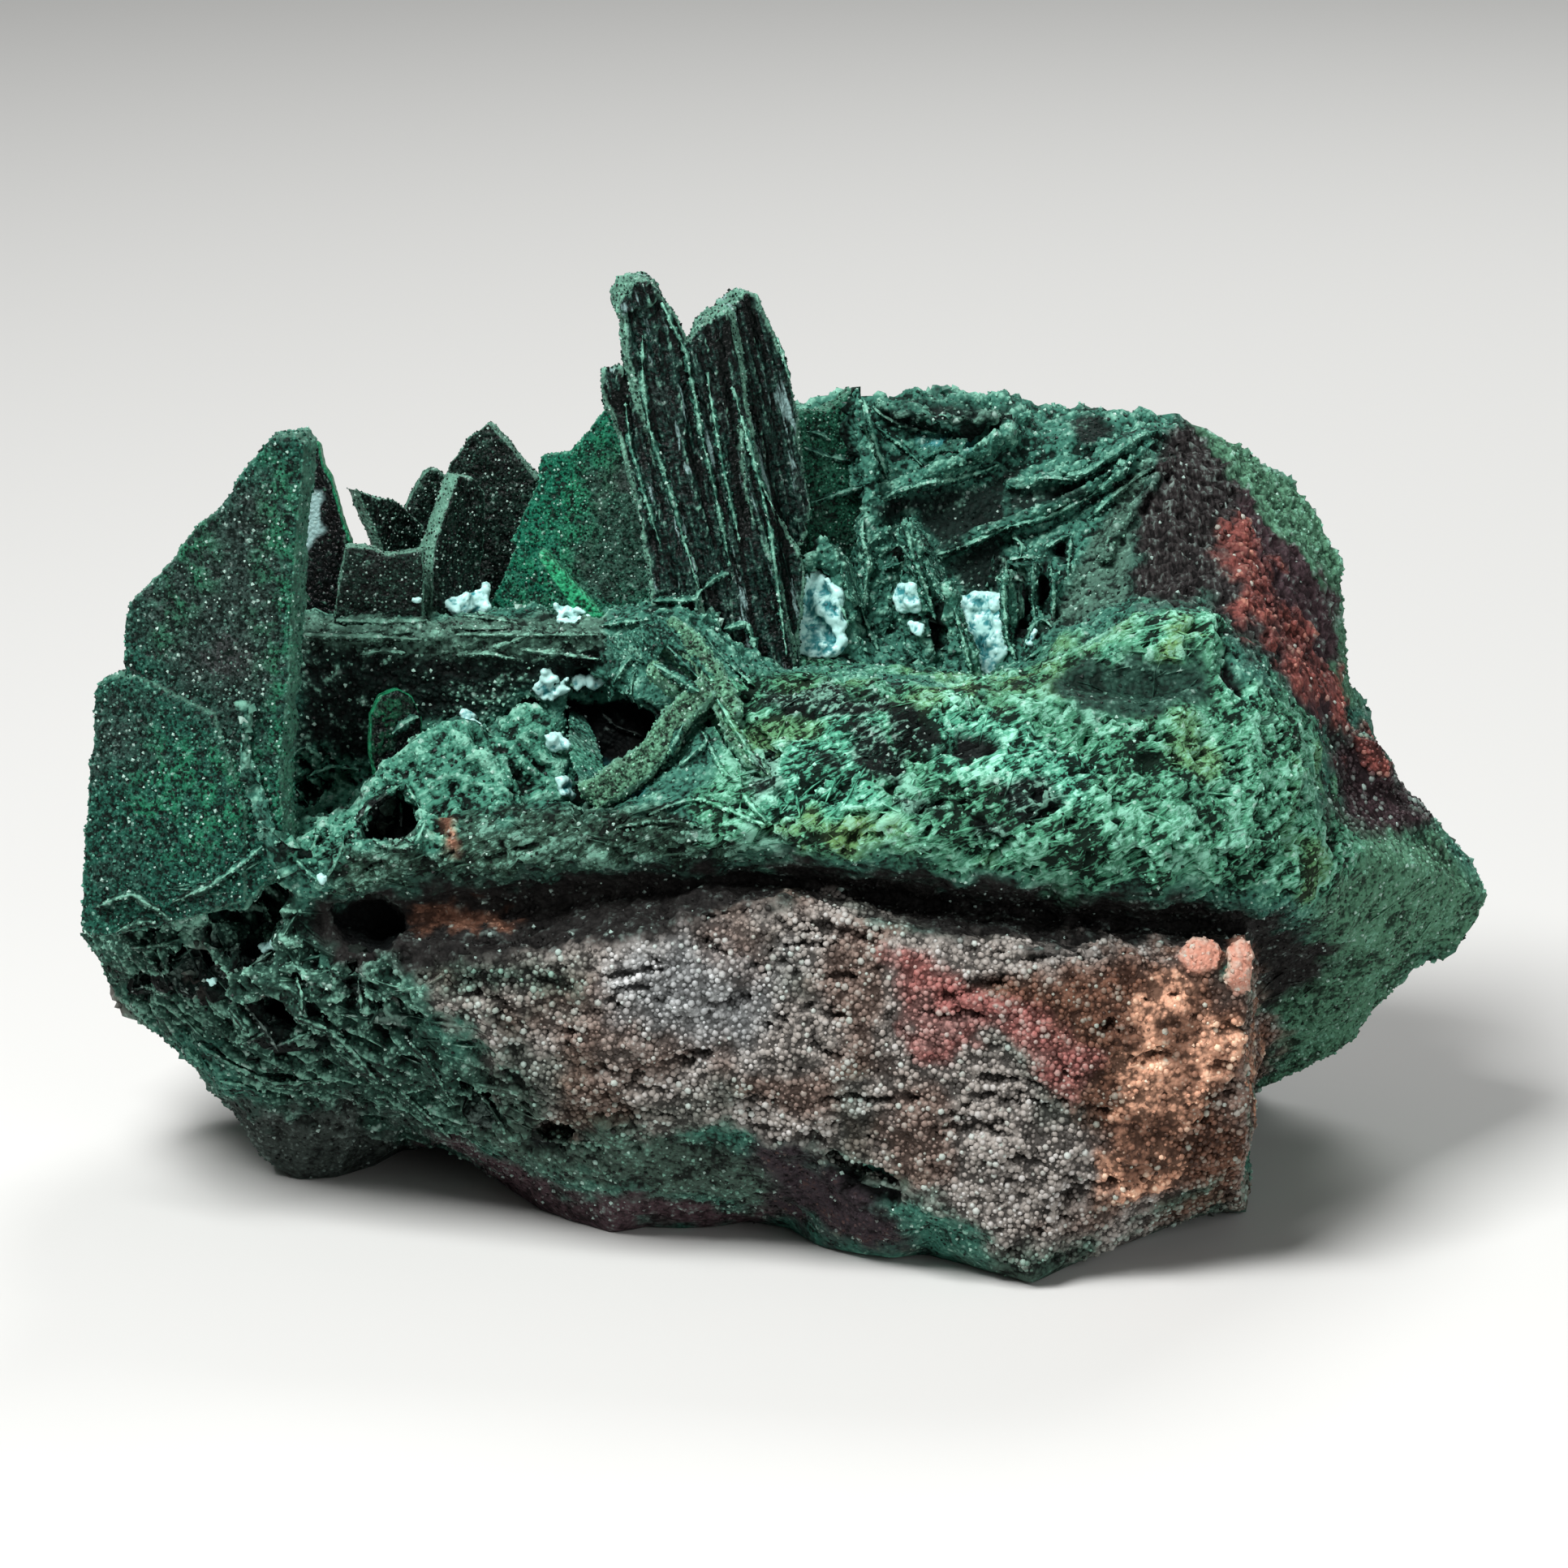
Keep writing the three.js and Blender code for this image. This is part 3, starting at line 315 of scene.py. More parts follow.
# The band under the front rim, painted near-black as the shadow of the overhang.
OVERHANG = [
    (-35.7, -9.1), (-31, -7.9), (-25.4, -7.2), (-16.6, -6.4), (-6.6, -6), (1.5, -5.6), (10.9, -7),
    (20.9, -7.9), (33.4, -9.1), (39.6, -10.6), (42.8, -12.8), (42.1, -14.9), (37.8, -17.8),
    (35.4, -13.2), (30.2, -12.2), (20.9, -12.6), (11.5, -11.6), (7.1, -9.8), (2.8, -8.5),
    (-0.4, -8.8), (-4.1, -10), (-8.5, -11.5), (-12.9, -12.5), (-20.4, -13.4), (-27.9, -14.4),
    (-33.5, -14.3), (-36.3, -11.5),
]
LOWER_FACE = [
    (-27.9, -13.7), (-20.4, -11.5), (-12.9, -10.9), (-4.1, -8.1), (2.8, -7.4), (7.1, -10.2),
    (14.6, -11.5), (23.4, -10.9), (29.6, -12.4), (36.2, -14.6), (36.4, -33.4), (32.1, -32.8),
    (27.1, -35.2), (20.2, -37.1), (13.4, -33.4), (8.4, -30.9), (2.1, -28.7), (-4.1, -26.5),
    (-10.4, -26.2), (-16.6, -27.8), (-20.4, -25.2), (-22.9, -20.9), (-26.6, -17.1),
]
LOW_LUMP = [(-44.1, -25.9), (-39.8, -23.7), (-32.2, -24.9), (-26.3, -27.1), (-26.6, -34), (-43.5, -34)]
NETWORK = [
    (-55.1, -9.6), (-47.9, -8.1), (-41, -4.6), (-36.6, -9), (-36, -13.4), (-29.1, -14.6),
    (-25.4, -20.2), (-20.4, -25.9), (-25.4, -29), (-31, -25.9), (-39.8, -24), (-46, -20.2),
    (-51, -16.5), (-54.8, -12.8),
]
BLOCK = [
    (26.8, 14.1), (27.1, 20.4), (28.7, 25.4), (30.6, 28.2), (33.4, 26.3), (35.9, 24.8), (37.1, 20.4),
    (40.2, 16.6), (42.1, 14.1), (42.1, 8.5), (43.1, 5.4), (41.2, 4.1), (39, 7.2), (35.2, 11),
    (32.1, 14.2),
]
VEIN = [(34.3, 19.4), (35.9, 16.6), (36.8, 12.9), (39.6, 9.8), (42.8, 6), (45.2, 2.2)]
KNOBS = [(42.1, 4.1), (45.2, 3.5), (47.8, 0.4), (51.5, -2.8), (45.9, -4), (42.8, -2.8)]
CRIMSON = [
    (6.8, -13.4), (11.5, -13.7), (17.1, -16.8), (22.8, -19.9), (24, -23.1), (17.8, -21.8),
    (10.9, -20.6), (8.4, -17.1),
]
RUST_BAND = [
    (10.9, -16.5), (20.9, -14), (29.6, -13.4), (36.2, -14.6), (36.2, -32.8), (25.9, -32.1),
    (23.4, -23.4), (17.1, -19.6),
]
ORANGE = [
    (23.7, -19.6), (29.6, -14.6), (33.4, -15.2), (35.2, -20.9), (33.4, -25.9), (29.6, -27.1),
    (29.6, -31.5), (25.2, -30.9), (27.1, -23.4),
]
SALMON = [
    [(30.8, -14.4), (30.4, -13.1), (31.5, -12.1), (33.1, -12), (33.8, -12.9), (33.4, -14.1), (32.1, -14.8)],
    [(34.1, -12.8), (34.6, -11.6), (35.9, -11.9), (36.4, -14), (35.9, -16), (34.8, -16.1), (34.2, -14.6)],
]
SILVER = [(-12.9, -14), (-6.6, -12.1), (-0.4, -14), (-1, -19), (-7.2, -19.6), (-12.2, -17.8)]
GREEN_FRINGE = [(-28.5, -13.4), (-22.9, -14), (-15.4, -14), (-15.4, -16.5), (-21.6, -17.1), (-26.6, -16.5)]
LOW_FRINGE = [(-23.5, -20.9), (-20.4, -22.8), (-16.6, -27.1), (-20.4, -28.4), (-24.8, -23.4)]
BOTTOM_GLOW = [
    (13.4, -35.9), (18.4, -34.6), (27.1, -35.2), (33.4, -31.5), (35.9, -33.4), (27.1, -37.1),
    (19.6, -39.6), (13.4, -38.4),
]
GREY_UNDERSIDE = [
    (-26.6, -27.1), (-21.6, -29), (-16.6, -30), (-10.4, -31), (-0.4, -32.8), (-0.2, -34.9),
    (-10.4, -35.6), (-20.4, -35.2), (-27.9, -29.6),
]
RED_UNDERSIDE = [(-2.2, -27.1), (2.1, -28.4), (9, -33.4), (10.2, -37.1), (4.6, -37.1), (-0.4, -34)]
SMOOTH_BLOCK = [
    (35, 23.5), (37.1, 21.6), (39.6, 18.9), (42.1, 16.6), (42.6, 12.9), (42.9, 7.2), (43.1, 3.8),
    (40.9, 4.8), (39, 7.9), (37.1, 11.6), (35.6, 16.6),
]
BLOCK_RIM = [
    (31.5, 27.4), (33.4, 27.2), (36.5, 25.7), (39.9, 22.9), (42.8, 19.8), (44.3, 16.6), (44.3, 6),
    (42.6, 6), (42.4, 14.1), (39.6, 17.8), (36.9, 20.4), (35.2, 22.9), (33.4, 25),
]
ORANGE_BITS = [
    [(-29.1, -9.1), (-25.4, -9.4), (-20.4, -9.9), (-20.4, -11.2), (-25.4, -11.5), (-29.1, -10.8)],
    [(-27.2, -2.9), (-25, -2.8), (-25.2, -5.4), (-27, -5.2)],
]
LEDGE = [
    (-38.1, 13.2), (-30.4, 13.1), (-22.9, 12.8), (-13.6, 13), (-13.6, 10.6), (-17.9, 10.2),
    (-22.9, 9.6), (-30.4, 10), (-38.1, 10.4),
]
WALL_CORNER = [(19.4, 11.4), (23.4, 18), (25.6, 22.4), (28.4, 26), (27, 20.4), (26.6, 14.4), (22.8, 12.6)]
YELLOW_PATCHES = [
    [(27.1, 10.6), (30.2, 11.8), (33.4, 10.4), (33.4, 8.6), (29.6, 9.8)],
    [(-0.4, -3), (4, -2.4), (9.6, -3.4), (9.6, -5.6), (2.1, -4.9)],
    [(12.1, 7.6), (17.1, 7.4), (20.2, 9.2), (17.8, 6)],
]
HOLLOW_CORNER = [(-38.8, 2.6), (-35.4, 3.2), (-32.6, 1), (-32.9, -4.6), (-35.4, -6.2), (-38.8, -5.9)]
HOOD_OPENING = [(-32.6, -4), (-32, -2.1), (-30.4, -0.2), (-28.8, -2), (-27.9, -4), (-30.4, -4.5)]
UNDER_FRINGE = [
    (-20.4, -25.9), (-16.6, -26.6), (-10.4, -26.8), (-0.4, -29), (4, -31.5), (-0.4, -33),
    (-10.4, -31.2), (-16.6, -30.2), (-22.2, -29),
]
TIP = [
    (42.1, -2.8), (45.9, -4), (51.5, -2.8), (55, -9), (50, -15), (44, -22), (37, -27), (36.4, -16),
    (42, -13),
]
# Back of the left hollow, painted near-black as the shade under the ledge.
HOLLOW_BACK = [
    (-37.9, 10.4), (-13.8, 11), (-13.8, 8.5), (-19.8, 7.2), (-22.9, 5.4), (-29.1, 4.1), (-33.5, 0.4),
    (-37.9, 0.4),
]
HOOD = [
    (-33.5, -4), (-32.2, 0.4), (-27.2, 4.8), (-22.9, 4.8), (-19.1, 6.6), (-16.6, 2.9), (-15.4, -1.2),
    (-20.4, -1.5), (-27.9, -4.9),
]
SCOOP = [(7.4, 29.3), (17.8, 29.1), (17.1, 27.6), (13.4, 27.2), (8.4, 28)]
HOLLOW_DEEP = [(-16.6, 6.6), (-10.4, 6), (-7.9, 6), (-10.4, 1.6), (-12.9, -1.2), (-16, -1.2), (-16.6, 2.9)]
TEAL_SPOTS = [
    [(-14.4, 1.6), (-10.4, 1.4), (-11, -0.6), (-14.2, -1.2)],
    [(10.2, 26.9), (14.6, 26.6), (14.3, 25.9), (10.9, 26)],
]
LENS = [
    (20.2, 7.8), (22.8, 9.6), (26.5, 10.4), (30.2, 10), (33.4, 8.5), (32.1, 6.1), (27.1, 4.9),
    (22.8, 5.5),
]
HOLES = [
    [(11.8, 3.4), (13.8, 4.3), (16.4, 3.7), (16.2, 2.5), (14, 1.9), (12.2, 2.3)],
    [(34, 10.4), (35.9, 7.9), (35.4, 6.5), (33.7, 8.2)],
    [(3.4, -29.6), (6, -30.2), (9, -31.6), (8.2, -32.4), (4.6, -31.2)],
    [(-20.4, -27.1), (-16.6, -27.9), (-16.9, -28.8), (-19.8, -28.2)],
]
POCKETS = [
    [(-45.9, -11.2), (-44, -10.8), (-40.4, -12), (-39.4, -13.5), (-41.9, -14.2), (-44, -12.9)],
    [(-47.5, -13.1), (-44.4, -13.1), (-42.6, -15.2), (-44, -16.6), (-47.1, -16.2)],
    [(-40.9, -17.1), (-38.5, -16.9), (-37.4, -18.5), (-38.9, -20.4), (-40.2, -19.2)],
    [(-37.1, -19.9), (-35.4, -19.2), (-34.4, -20.4), (-36.1, -21.1)],
    [(-33.9, -15.1), (-32.8, -15), (-32.6, -17.1), (-33.8, -17)],
    [(-31.9, -17.8), (-30.4, -17), (-28.9, -17.2), (-29.4, -18.5), (-31.5, -18.9)],
    [(-25.4, -23.8), (-23.1, -24.4), (-21.4, -26.1), (-22.9, -26.6), (-24.8, -25.2)],
    [(-50.9, -11.5), (-48.5, -10.9), (-47.5, -11.6), (-49.4, -12.4)],
    [(-42.5, -7.1), (-40.6, -6.2), (-40.5, -7.5), (-42, -9)],
    [(-51, -15), (-49, -14.9), (-48.5, -16.2), (-49.9, -16.6)],
]
CAVE = [(-34.8, -9.5), (-31, -9.1), (-29.1, -10.9), (-30.4, -13.1), (-34.1, -12.1)]
WALL_FLATS = [
    [(7.1, 21.2), (12.1, 22.6), (16.6, 23.2), (17.2, 20.4), (11.6, 18.1), (10.1, 20.8), (7.4, 20.2)],
    [(17.1, 22.5), (22.8, 22.9), (23.6, 22.1), (17.2, 20.6)],
    [(12.1, 17.2), (17, 19), (17.1, 17.2), (16.6, 14.8), (14, 14.4), (13, 15.8)],
    [(22, 27.8), (23.8, 28.8), (25.8, 27.2), (23.5, 25.5), (22.2, 26)],
    [(16.6, 24.5), (18.5, 24.6), (18.1, 23.5), (16.9, 23.4)],
]
WALL_SLOTS = [
    [(17.9, 16.8), (19.1, 16.8), (18.9, 10.9), (17.8, 11)],
    [(19.6, 17.2), (20.2, 17.2), (20.1, 14), (19.6, 14)],
    [(21, 18.6), (21.9, 18.6), (21.8, 16.9), (21.1, 17)],
    [(4.9, 22.6), (6.1, 23), (6, 20.8), (5.1, 20.8)],
    [(1.2, 21.2), (4.2, 21.6), (4.8, 19.6), (2.4, 19.1), (1.2, 17.2)],
    [(10.9, 13.1), (12.1, 12.2), (12.6, 10), (11.5, 10.4)],
]
MASS_DARKS = [
    [(4.6, 4.2), (7.4, 4.4), (9.8, 2.2), (9.4, -0.2), (6.9, 0.2), (5.2, 2.2)],
    [(7.2, 6.4), (10.4, 5.6), (12, 3.4), (10.2, 1.6), (8.6, 3.4)],
    [(-2.9, 2.4), (-0.6, 2.2), (0.1, 0), (-1.4, -1.4), (-2.9, -0.4)],
    [(13.6, -2.4), (17.2, -2.9), (18, -4.9), (14.4, -4.4)],
    [(-1.6, 7.2), (2.8, 7.8), (5.9, 6.5), (7.8, 5.4), (5.9, 4.6), (1.2, 5.4), (-1.9, 5.9)],
    [(6.2, 7.2), (8.4, 6.5), (9, 5.1), (7.2, 5.4)],
    [(16, 0.4), (19.6, 0.9), (22, -0.8), (19.6, -2.9), (16.6, -1.9)],
    [(8.4, -1.2), (11.5, -0.6), (13.4, -2.1), (9.6, -2.8)],
    [(2.1, 2.6), (4.6, 2.2), (4.8, 1.2), (2.4, 1.4)],
]

# Straps: width and lift in mm, how pale the ridge is, and the line that the strap follows
WALL_STRAPS = [
    (0.9, 0.4, 0.9, [(5.8, 30.5), (6.4, 28.8), (7, 26.2), (8.1, 23.2)]),
    (0.5, 0.4, 0.9, [(6.4, 29.5), (7.5, 28.4), (9, 27.6), (11.5, 27), (14.2, 26.8)]),
    (0.5, 0.3, 0.7, [(7.1, 27.5), (8.6, 26.4), (10.2, 25), (11.1, 24)]),
    (0.5, 0.5, 0.8, [(1.6, 21.5), (4, 22.3), (6, 22.9)]),
    (0.5, 0.3, 0.5, [(1.6, 25.9), (3.4, 25.2), (5.2, 24.9)]),
    (0.4, 0.3, 0.5, [(1.5, 27.2), (2.8, 27), (3.6, 26.5)]),
    (0.8, 0.6, 0.8, [(6.9, 21.5), (8.4, 22.4), (10.9, 23.2), (13.4, 23.5), (15.4, 24.1), (16.6, 24.6)]),
    (0.7, 0.5, 0.8, [(16.6, 22.9), (18.5, 23.5), (20.9, 23.6), (22.8, 23.4)]),
    (1.5, 0.7, 0.6, [(21.5, 23.6), (23.4, 24.1), (25.6, 25.6), (27.2, 26.8), (29.4, 27.4)]),
    (0.7, 0.7, 0.9, [(11.6, 17.6), (14.1, 18.4), (17.1, 19.8), (19.8, 20.4), (22.2, 21.4),
        (24.1, 22.5)]),
    (1.3, 0.6, 0.6, [(23.8, 22.4), (25.6, 23.8), (27.4, 25.1), (29.1, 26.1)]),
    (0.8, 0.3, 0.5, [(23.4, 20.4), (25, 21.9), (27, 23.5), (29, 24.6)]),
    (0.8, 0.5, 1.1, [(6.1, 20.4), (6, 18.9), (6.6, 17.1), (6.3, 15.4), (6.2, 13.4)]),
    (0.6, 0.7, 0.8, [(1.5, 16.2), (2, 18.4), (2.8, 19.1), (3.8, 18.4), (4.8, 17.4), (5.6, 15.2)]),
    (0.6, 0.3, 0.6, [(5.6, 15.2), (6.1, 13), (7.2, 10.4)]),
    (0.6, 0.6, 0.7, [(2.2, 17.2), (3.1, 16.2), (4, 14.6), (5, 12.2)]),
    (0.7, 0.9, 0.6, [(9.8, 20.8), (10.6, 19), (11.4, 17.1), (12.4, 15.6), (13.1, 13.5)]),
    (0.6, 0.6, 0.8, [(9.5, 19.4), (10, 17.2), (10.9, 15.2), (11.6, 12.8), (12.6, 9.6)]),
    (0.6, 0.5, 0.5, [(13.1, 13.5), (13.8, 11), (14.6, 8)]),
    (0.7, 0.6, 1.2, [(17.1, 17.1), (16.9, 14.1), (17.2, 11), (17.9, 9.6)]),
    (0.6, 0.6, 1, [(17, 17.2), (18.4, 17.5), (19.8, 17.4)]),
    (0.7, 0.6, 1.1, [(18.2, 17.5), (18.4, 18.6), (17.6, 19.1)]),
    (0.5, 0.5, 0.6, [(19.2, 17.2), (19.1, 14.1), (19.5, 12.1)]),
    (0.5, 0.6, 0.9, [(20.5, 17.1), (20.8, 14.8), (20.7, 12.6)]),
    (0.5, 0.6, 1.1, [(22.1, 19.1), (21.9, 16.6)]),
    (0.6, 0.5, 0.6, [(20.1, 18.1), (21.1, 18.9), (22.1, 19.2)]),
    (0.5, 0.4, 0.7, [(18.5, 10.4), (18.9, 11.9), (19.9, 12.9), (20.6, 12.1)]),
    (0.5, 0.4, 0.4, [(7.8, 16.6), (9.6, 17.2), (10.1, 18.1)]),
    (0.5, 0.4, 0.4, [(7.9, 19.1), (9, 18.4), (9.9, 17.2)]),
    (0.6, 0.4, 0.7, [(18.6, 9.6), (20.9, 10.9), (22.8, 11.9)]),
]
CENTRE_STRAPS = [
    (0.9, 0.8, 0.7, [(-10, 9.2), (-8.5, 8.4), (-6.6, 7.1)]),
    (0.5, 0.9, 0.6, [(-9.2, 10.9), (-7.8, 9.4), (-6.2, 7.8)]),
    (0.6, 0.8, 0.8, [(-6.2, 11.7), (-4.6, 11.9), (-2.9, 12.4)]),
    (0.6, 0.8, 0.8, [(-2.9, 12.4), (-2.2, 10.6), (-1.6, 8.8)]),
    (0.6, 0.6, 0.7, [(-6.1, 11.5), (-5.1, 10.1), (-3.9, 9), (-2.2, 7.5)]),
    (0.9, 0.9, 0.9, [(-14.2, 13.6), (-12.2, 13.9), (-9.8, 14.1), (-6.6, 14.2)]),
    (0.6, 0.6, 0.5, [(-14.2, 12.2), (-12.2, 12.5), (-10.9, 12.6)]),
    (0.25, 0.6, 1.4, [(-14, 5.4), (-12.9, 4.4), (-11, 3.8), (-10.2, 3.1)]),
    (0.3, 0.6, 1.2, [(-15.9, 5.5), (-15.2, 4.3), (-14.6, 3.4), (-14, 2.5)]),
    (0.5, 0.5, 0.8, [(-3.2, -0.8), (-2.2, -2), (-1.4, -2.8)]),
    (0.6, 0.5, 0.5, [(-5.1, 6.5), (-4, 4.6), (-2.5, 2.2), (-0.6, 0)]),
    (0.5, 0.5, 0.7, [(-6, 3.8), (-5.6, 2.6), (-4.8, 1.1), (-4.1, 0.6)]),
    (0.6, 0.6, 0.9, [(-7.5, 5.1), (-6.2, 4), (-5.8, 3.2), (-6.6, 2.5)]),
    (0.6, 0.6, 0.8, [(-7.8, 4.6), (-8.4, 3.2), (-9, 1.9)]),
    (0.6, 0.5, 0.8, [(-8.1, 1.4), (-7.1, 2.2), (-6.1, 3.2)]),
    (0.4, 0.4, 0.5, [(-11.4, 9), (-11.9, 7.2), (-11, 4.9)]),
    (0.5, 0.4, 0.6, [(-13.6, 6.6), (-13, 8.1), (-12.1, 9.4), (-11, 10.4)]),
    (0.6, 0.4, 0.8, [(-10.4, -2.4), (-8.5, -1.5), (-6.5, -1.1), (-4.1, -2.1), (-1.6, -3.1)]),
    (0.6, 0.4, 0.6, [(-12.9, -3.4), (-10.4, -2.8), (-8.1, -2.9), (-6, -3.4)]),
    (0.5, 0.4, 0.9, [(-6.2, 15), (-5.4, 15.9), (-4.4, 16.2)]),
    (0.5, 0.7, 0.8, [(-6.6, 12.9), (-6.9, 14), (-6.4, 14.9)]),
]
HOLLOW_STRAPS = [
    (1.1, 0.5, 1.1, [(-37.6, 12.5), (-34.1, 12.6), (-30.4, 12.5), (-27.6, 12.6)]),
    (0.8, 0.5, 0.8, [(-37.6, 11.5), (-34.1, 11.4), (-30.4, 11.3), (-27.9, 11.1)]),
    (0.8, 0.5, 0.5, [(-32.9, 9.9), (-31, 10.3), (-29.1, 10.1)]),
    (0.5, 0.7, 0.9, [(-27.6, 12.9), (-25.9, 13.1), (-22.9, 12.8), (-20.4, 12.4)]),
    (0.6, 0.5, 0.8, [(-25.4, 11.5), (-21.6, 11.5), (-17.9, 11.5), (-14.2, 11.5)]),
    (0.7, 0.4, 0.6, [(-25.6, 9.9), (-22.9, 10.1), (-20.4, 9.6)]),
    (0.4, 0.5, 0.7, [(-22.6, 10.5), (-21, 10.9), (-19.6, 11.6)]),
    (0.8, 0.4, 0.5, [(-20.4, 10.4), (-17.2, 10), (-14.1, 9.6)]),
    (0.4, 0.5, 1, [(-38.4, 0.9), (-37.4, -0.6), (-36, -2.4)]),
    (0.4, 0.4, 0.6, [(-37.9, 2.2), (-36.8, 3), (-35.6, 1.9)]),
    (0.5, 0.4, 0.6, [(-36.6, 0.6), (-34.8, 1.4), (-32.9, 1.1)]),
    (0.8, 0.4, 1, [(-30.1, 3.9), (-29.1, 4.8), (-27.6, 5.5), (-26.1, 5.9)]),
    (0.4, 0.8, 0.8, [(-29.6, -0.5), (-29.5, -1.9), (-29.5, -3.2)]),
    (0.5, 0.6, 0.9, [(-29.1, 0), (-28.4, -1.2), (-27.6, -2.6)]),
    (0.4, 0.7, 0.7, [(-30.1, -3.2), (-29.8, -4.2)]),
    (0.9, 0.5, 0.8, [(-33, -3.2), (-31.5, -4.4), (-29.9, -5), (-28.4, -4.6)]),
    (0.8, 0.5, 0.8, [(-32.9, -2.8), (-32.1, -1.9), (-31, -1.1), (-29.6, -0.1)]),
    (0.5, 0.4, 0.7, [(-28.6, -4.9), (-28, -3.9), (-27.6, -2.8)]),
    (0.6, 0.4, 0.6, [(-37.5, -5.9), (-36.6, -6.9), (-35.4, -7.8)]),
    (0.5, 0.5, 0.7, [(-36.2, -2.8), (-35.8, -4), (-36.4, -5)]),
    (0.5, 0.4, 0.6, [(-33.9, -4), (-34.2, -5.6), (-35.4, -7.5)]),
]
NETWORK_STRAPS = [
    (0.9, 0.4, 0.6, [(-53.6, -11.6), (-51.8, -13.8), (-49.9, -16.6), (-47.5, -19.1), (-45.4, -21.1),
        (-43.4, -23.5)]),
    (0.7, 0.5, 0.7, [(-53, -9.5), (-50.4, -8.4), (-47.9, -9.9), (-46.2, -11.5), (-44.6, -12.6),
        (-42.1, -14.6), (-39.1, -16)]),
    (0.5, 0.5, 0.6, [(-52.4, -12.1), (-50.8, -11), (-48.9, -10.5), (-47, -11.5)]),
    (0.5, 0.4, 0.5, [(-51, -12.6), (-48.9, -12.6), (-46.6, -12)]),
    (0.6, 0.5, 0.7, [(-45.1, -12.6), (-43.1, -14.4), (-41.6, -16.9), (-39.8, -19.1), (-38.4, -21.6)]),
    (0.5, 0.4, 0.6, [(-42.8, -17.2), (-40.5, -20.2), (-38.5, -22.8)]),
    (0.6, 0.5, 0.8, [(-42.1, -13.5), (-39.8, -15), (-37.6, -17.8), (-35.2, -18.8), (-32.9, -20.9),
        (-30.9, -23.4), (-27.9, -26), (-25.5, -28.2)]),
    (0.5, 0.5, 0.8, [(-37.9, -13.5), (-37.2, -15.9), (-37.1, -17.9)]),
    (0.5, 0.6, 1, [(-32.8, -15.2), (-32.5, -17.8), (-32.6, -20.4)]),
    (0.7, 0.5, 0.6, [(-45.4, -19.8), (-42.4, -21.8), (-39.1, -23.1), (-35.4, -22.8), (-32.1, -22.4)]),
    (0.6, 0.5, 0.8, [(-38.1, -17.8), (-36, -18.5), (-33.9, -19.4)]),
    (0.4, 0.4, 0.6, [(-39.8, -20.4), (-38.1, -19.8), (-35.2, -18.5)]),
    (0.5, 0.4, 0.6, [(-32.1, -21.5), (-29.1, -24), (-26.6, -26.4), (-25, -28)]),
    (0.6, 0.4, 0.6, [(-40.5, -8.1), (-39.8, -10), (-38.8, -11.8), (-37.9, -13.5)]),
    (0.7, 0.5, 0.8, [(-47.1, -9.1), (-44.1, -7.8), (-41.6, -6), (-40.2, -4.8)]),
    (0.5, 0.4, 0.5, [(-35.4, -14), (-34.1, -14.9), (-32.9, -14.6), (-30.4, -15)]),
    (0.5, 0.4, 0.5, [(-41.6, -14.4), (-39.8, -13.1), (-37.8, -12.1)]),
    (0.4, 0.4, 0.5, [(-46.5, -15.6), (-44.8, -17.1), (-42.8, -17.6)]),
    (0.4, 0.4, 0.5, [(-49.1, -13.4), (-47.9, -14.6), (-47.1, -16.4), (-45.4, -17.9)]),
    (0.5, 0.4, 0.5, [(-44.1, -22.8), (-41.6, -23.2), (-39.8, -24.1)]),
    (0.5, 0.4, 0.5, [(-34.1, -22.8), (-32.9, -24.4), (-32.1, -26.5)]),
    (0.5, 0.4, 0.6, [(-25, -20.9), (-23.8, -23.4), (-22.2, -25.4), (-21.5, -26.9)]),
    (0.5, 0.4, 0.5, [(-29.1, -19.6), (-27.2, -21.5), (-25.9, -24.1), (-23.5, -27.1)]),
    (0.6, 0.4, 0.6, [(-25.4, -28.6), (-22.9, -29.6), (-20.4, -30.4), (-17.9, -31)]),
    (0.4, 0.4, 0.4, [(-31, -15.6), (-31.2, -17.1), (-31.9, -18.5)]),
    (0.4, 0.4, 0.4, [(-42.6, -20.2), (-41.2, -19.9), (-39.8, -19)]),
]
SPIRE_STRAPS = [
    (0.35, 0.25, 1.2, [(-1.1, 36.3), (0.6, 30.6), (1.6, 25.6)]),
    (0.45, 0.35, 1.2, [(-3.9, 30.4), (-3, 27.2), (-1.9, 23.4), (-0.4, 20.4), (1.2, 17.6)]),
    (0.4, 0.3, 1, [(-3.2, 28.4), (-2.2, 24.4), (-1.1, 20), (-0.4, 14.4), (0.2, 9.9)]),
    (0.55, 0.35, 1.2, [(-10.9, 34.6), (-10.9, 31), (-10.4, 27.4), (-8.9, 22.9), (-7.6, 18.4), (-6.6, 15.1)]),
    (0.5, 0.35, 1, [(-9.4, 37), (-7.6, 33.3), (-6.9, 30), (-6.4, 27), (-5.2, 22), (-4.2, 17)]),
    (0.4, 0.3, 0.8, [(-5.9, 31.6), (-5.4, 28), (-4.4, 23), (-3.4, 18.6)]),
    (0.5, 0.35, 1, [(-12.2, 29.4), (-11.9, 26.4), (-10.8, 22.4), (-9.4, 18)]),
]

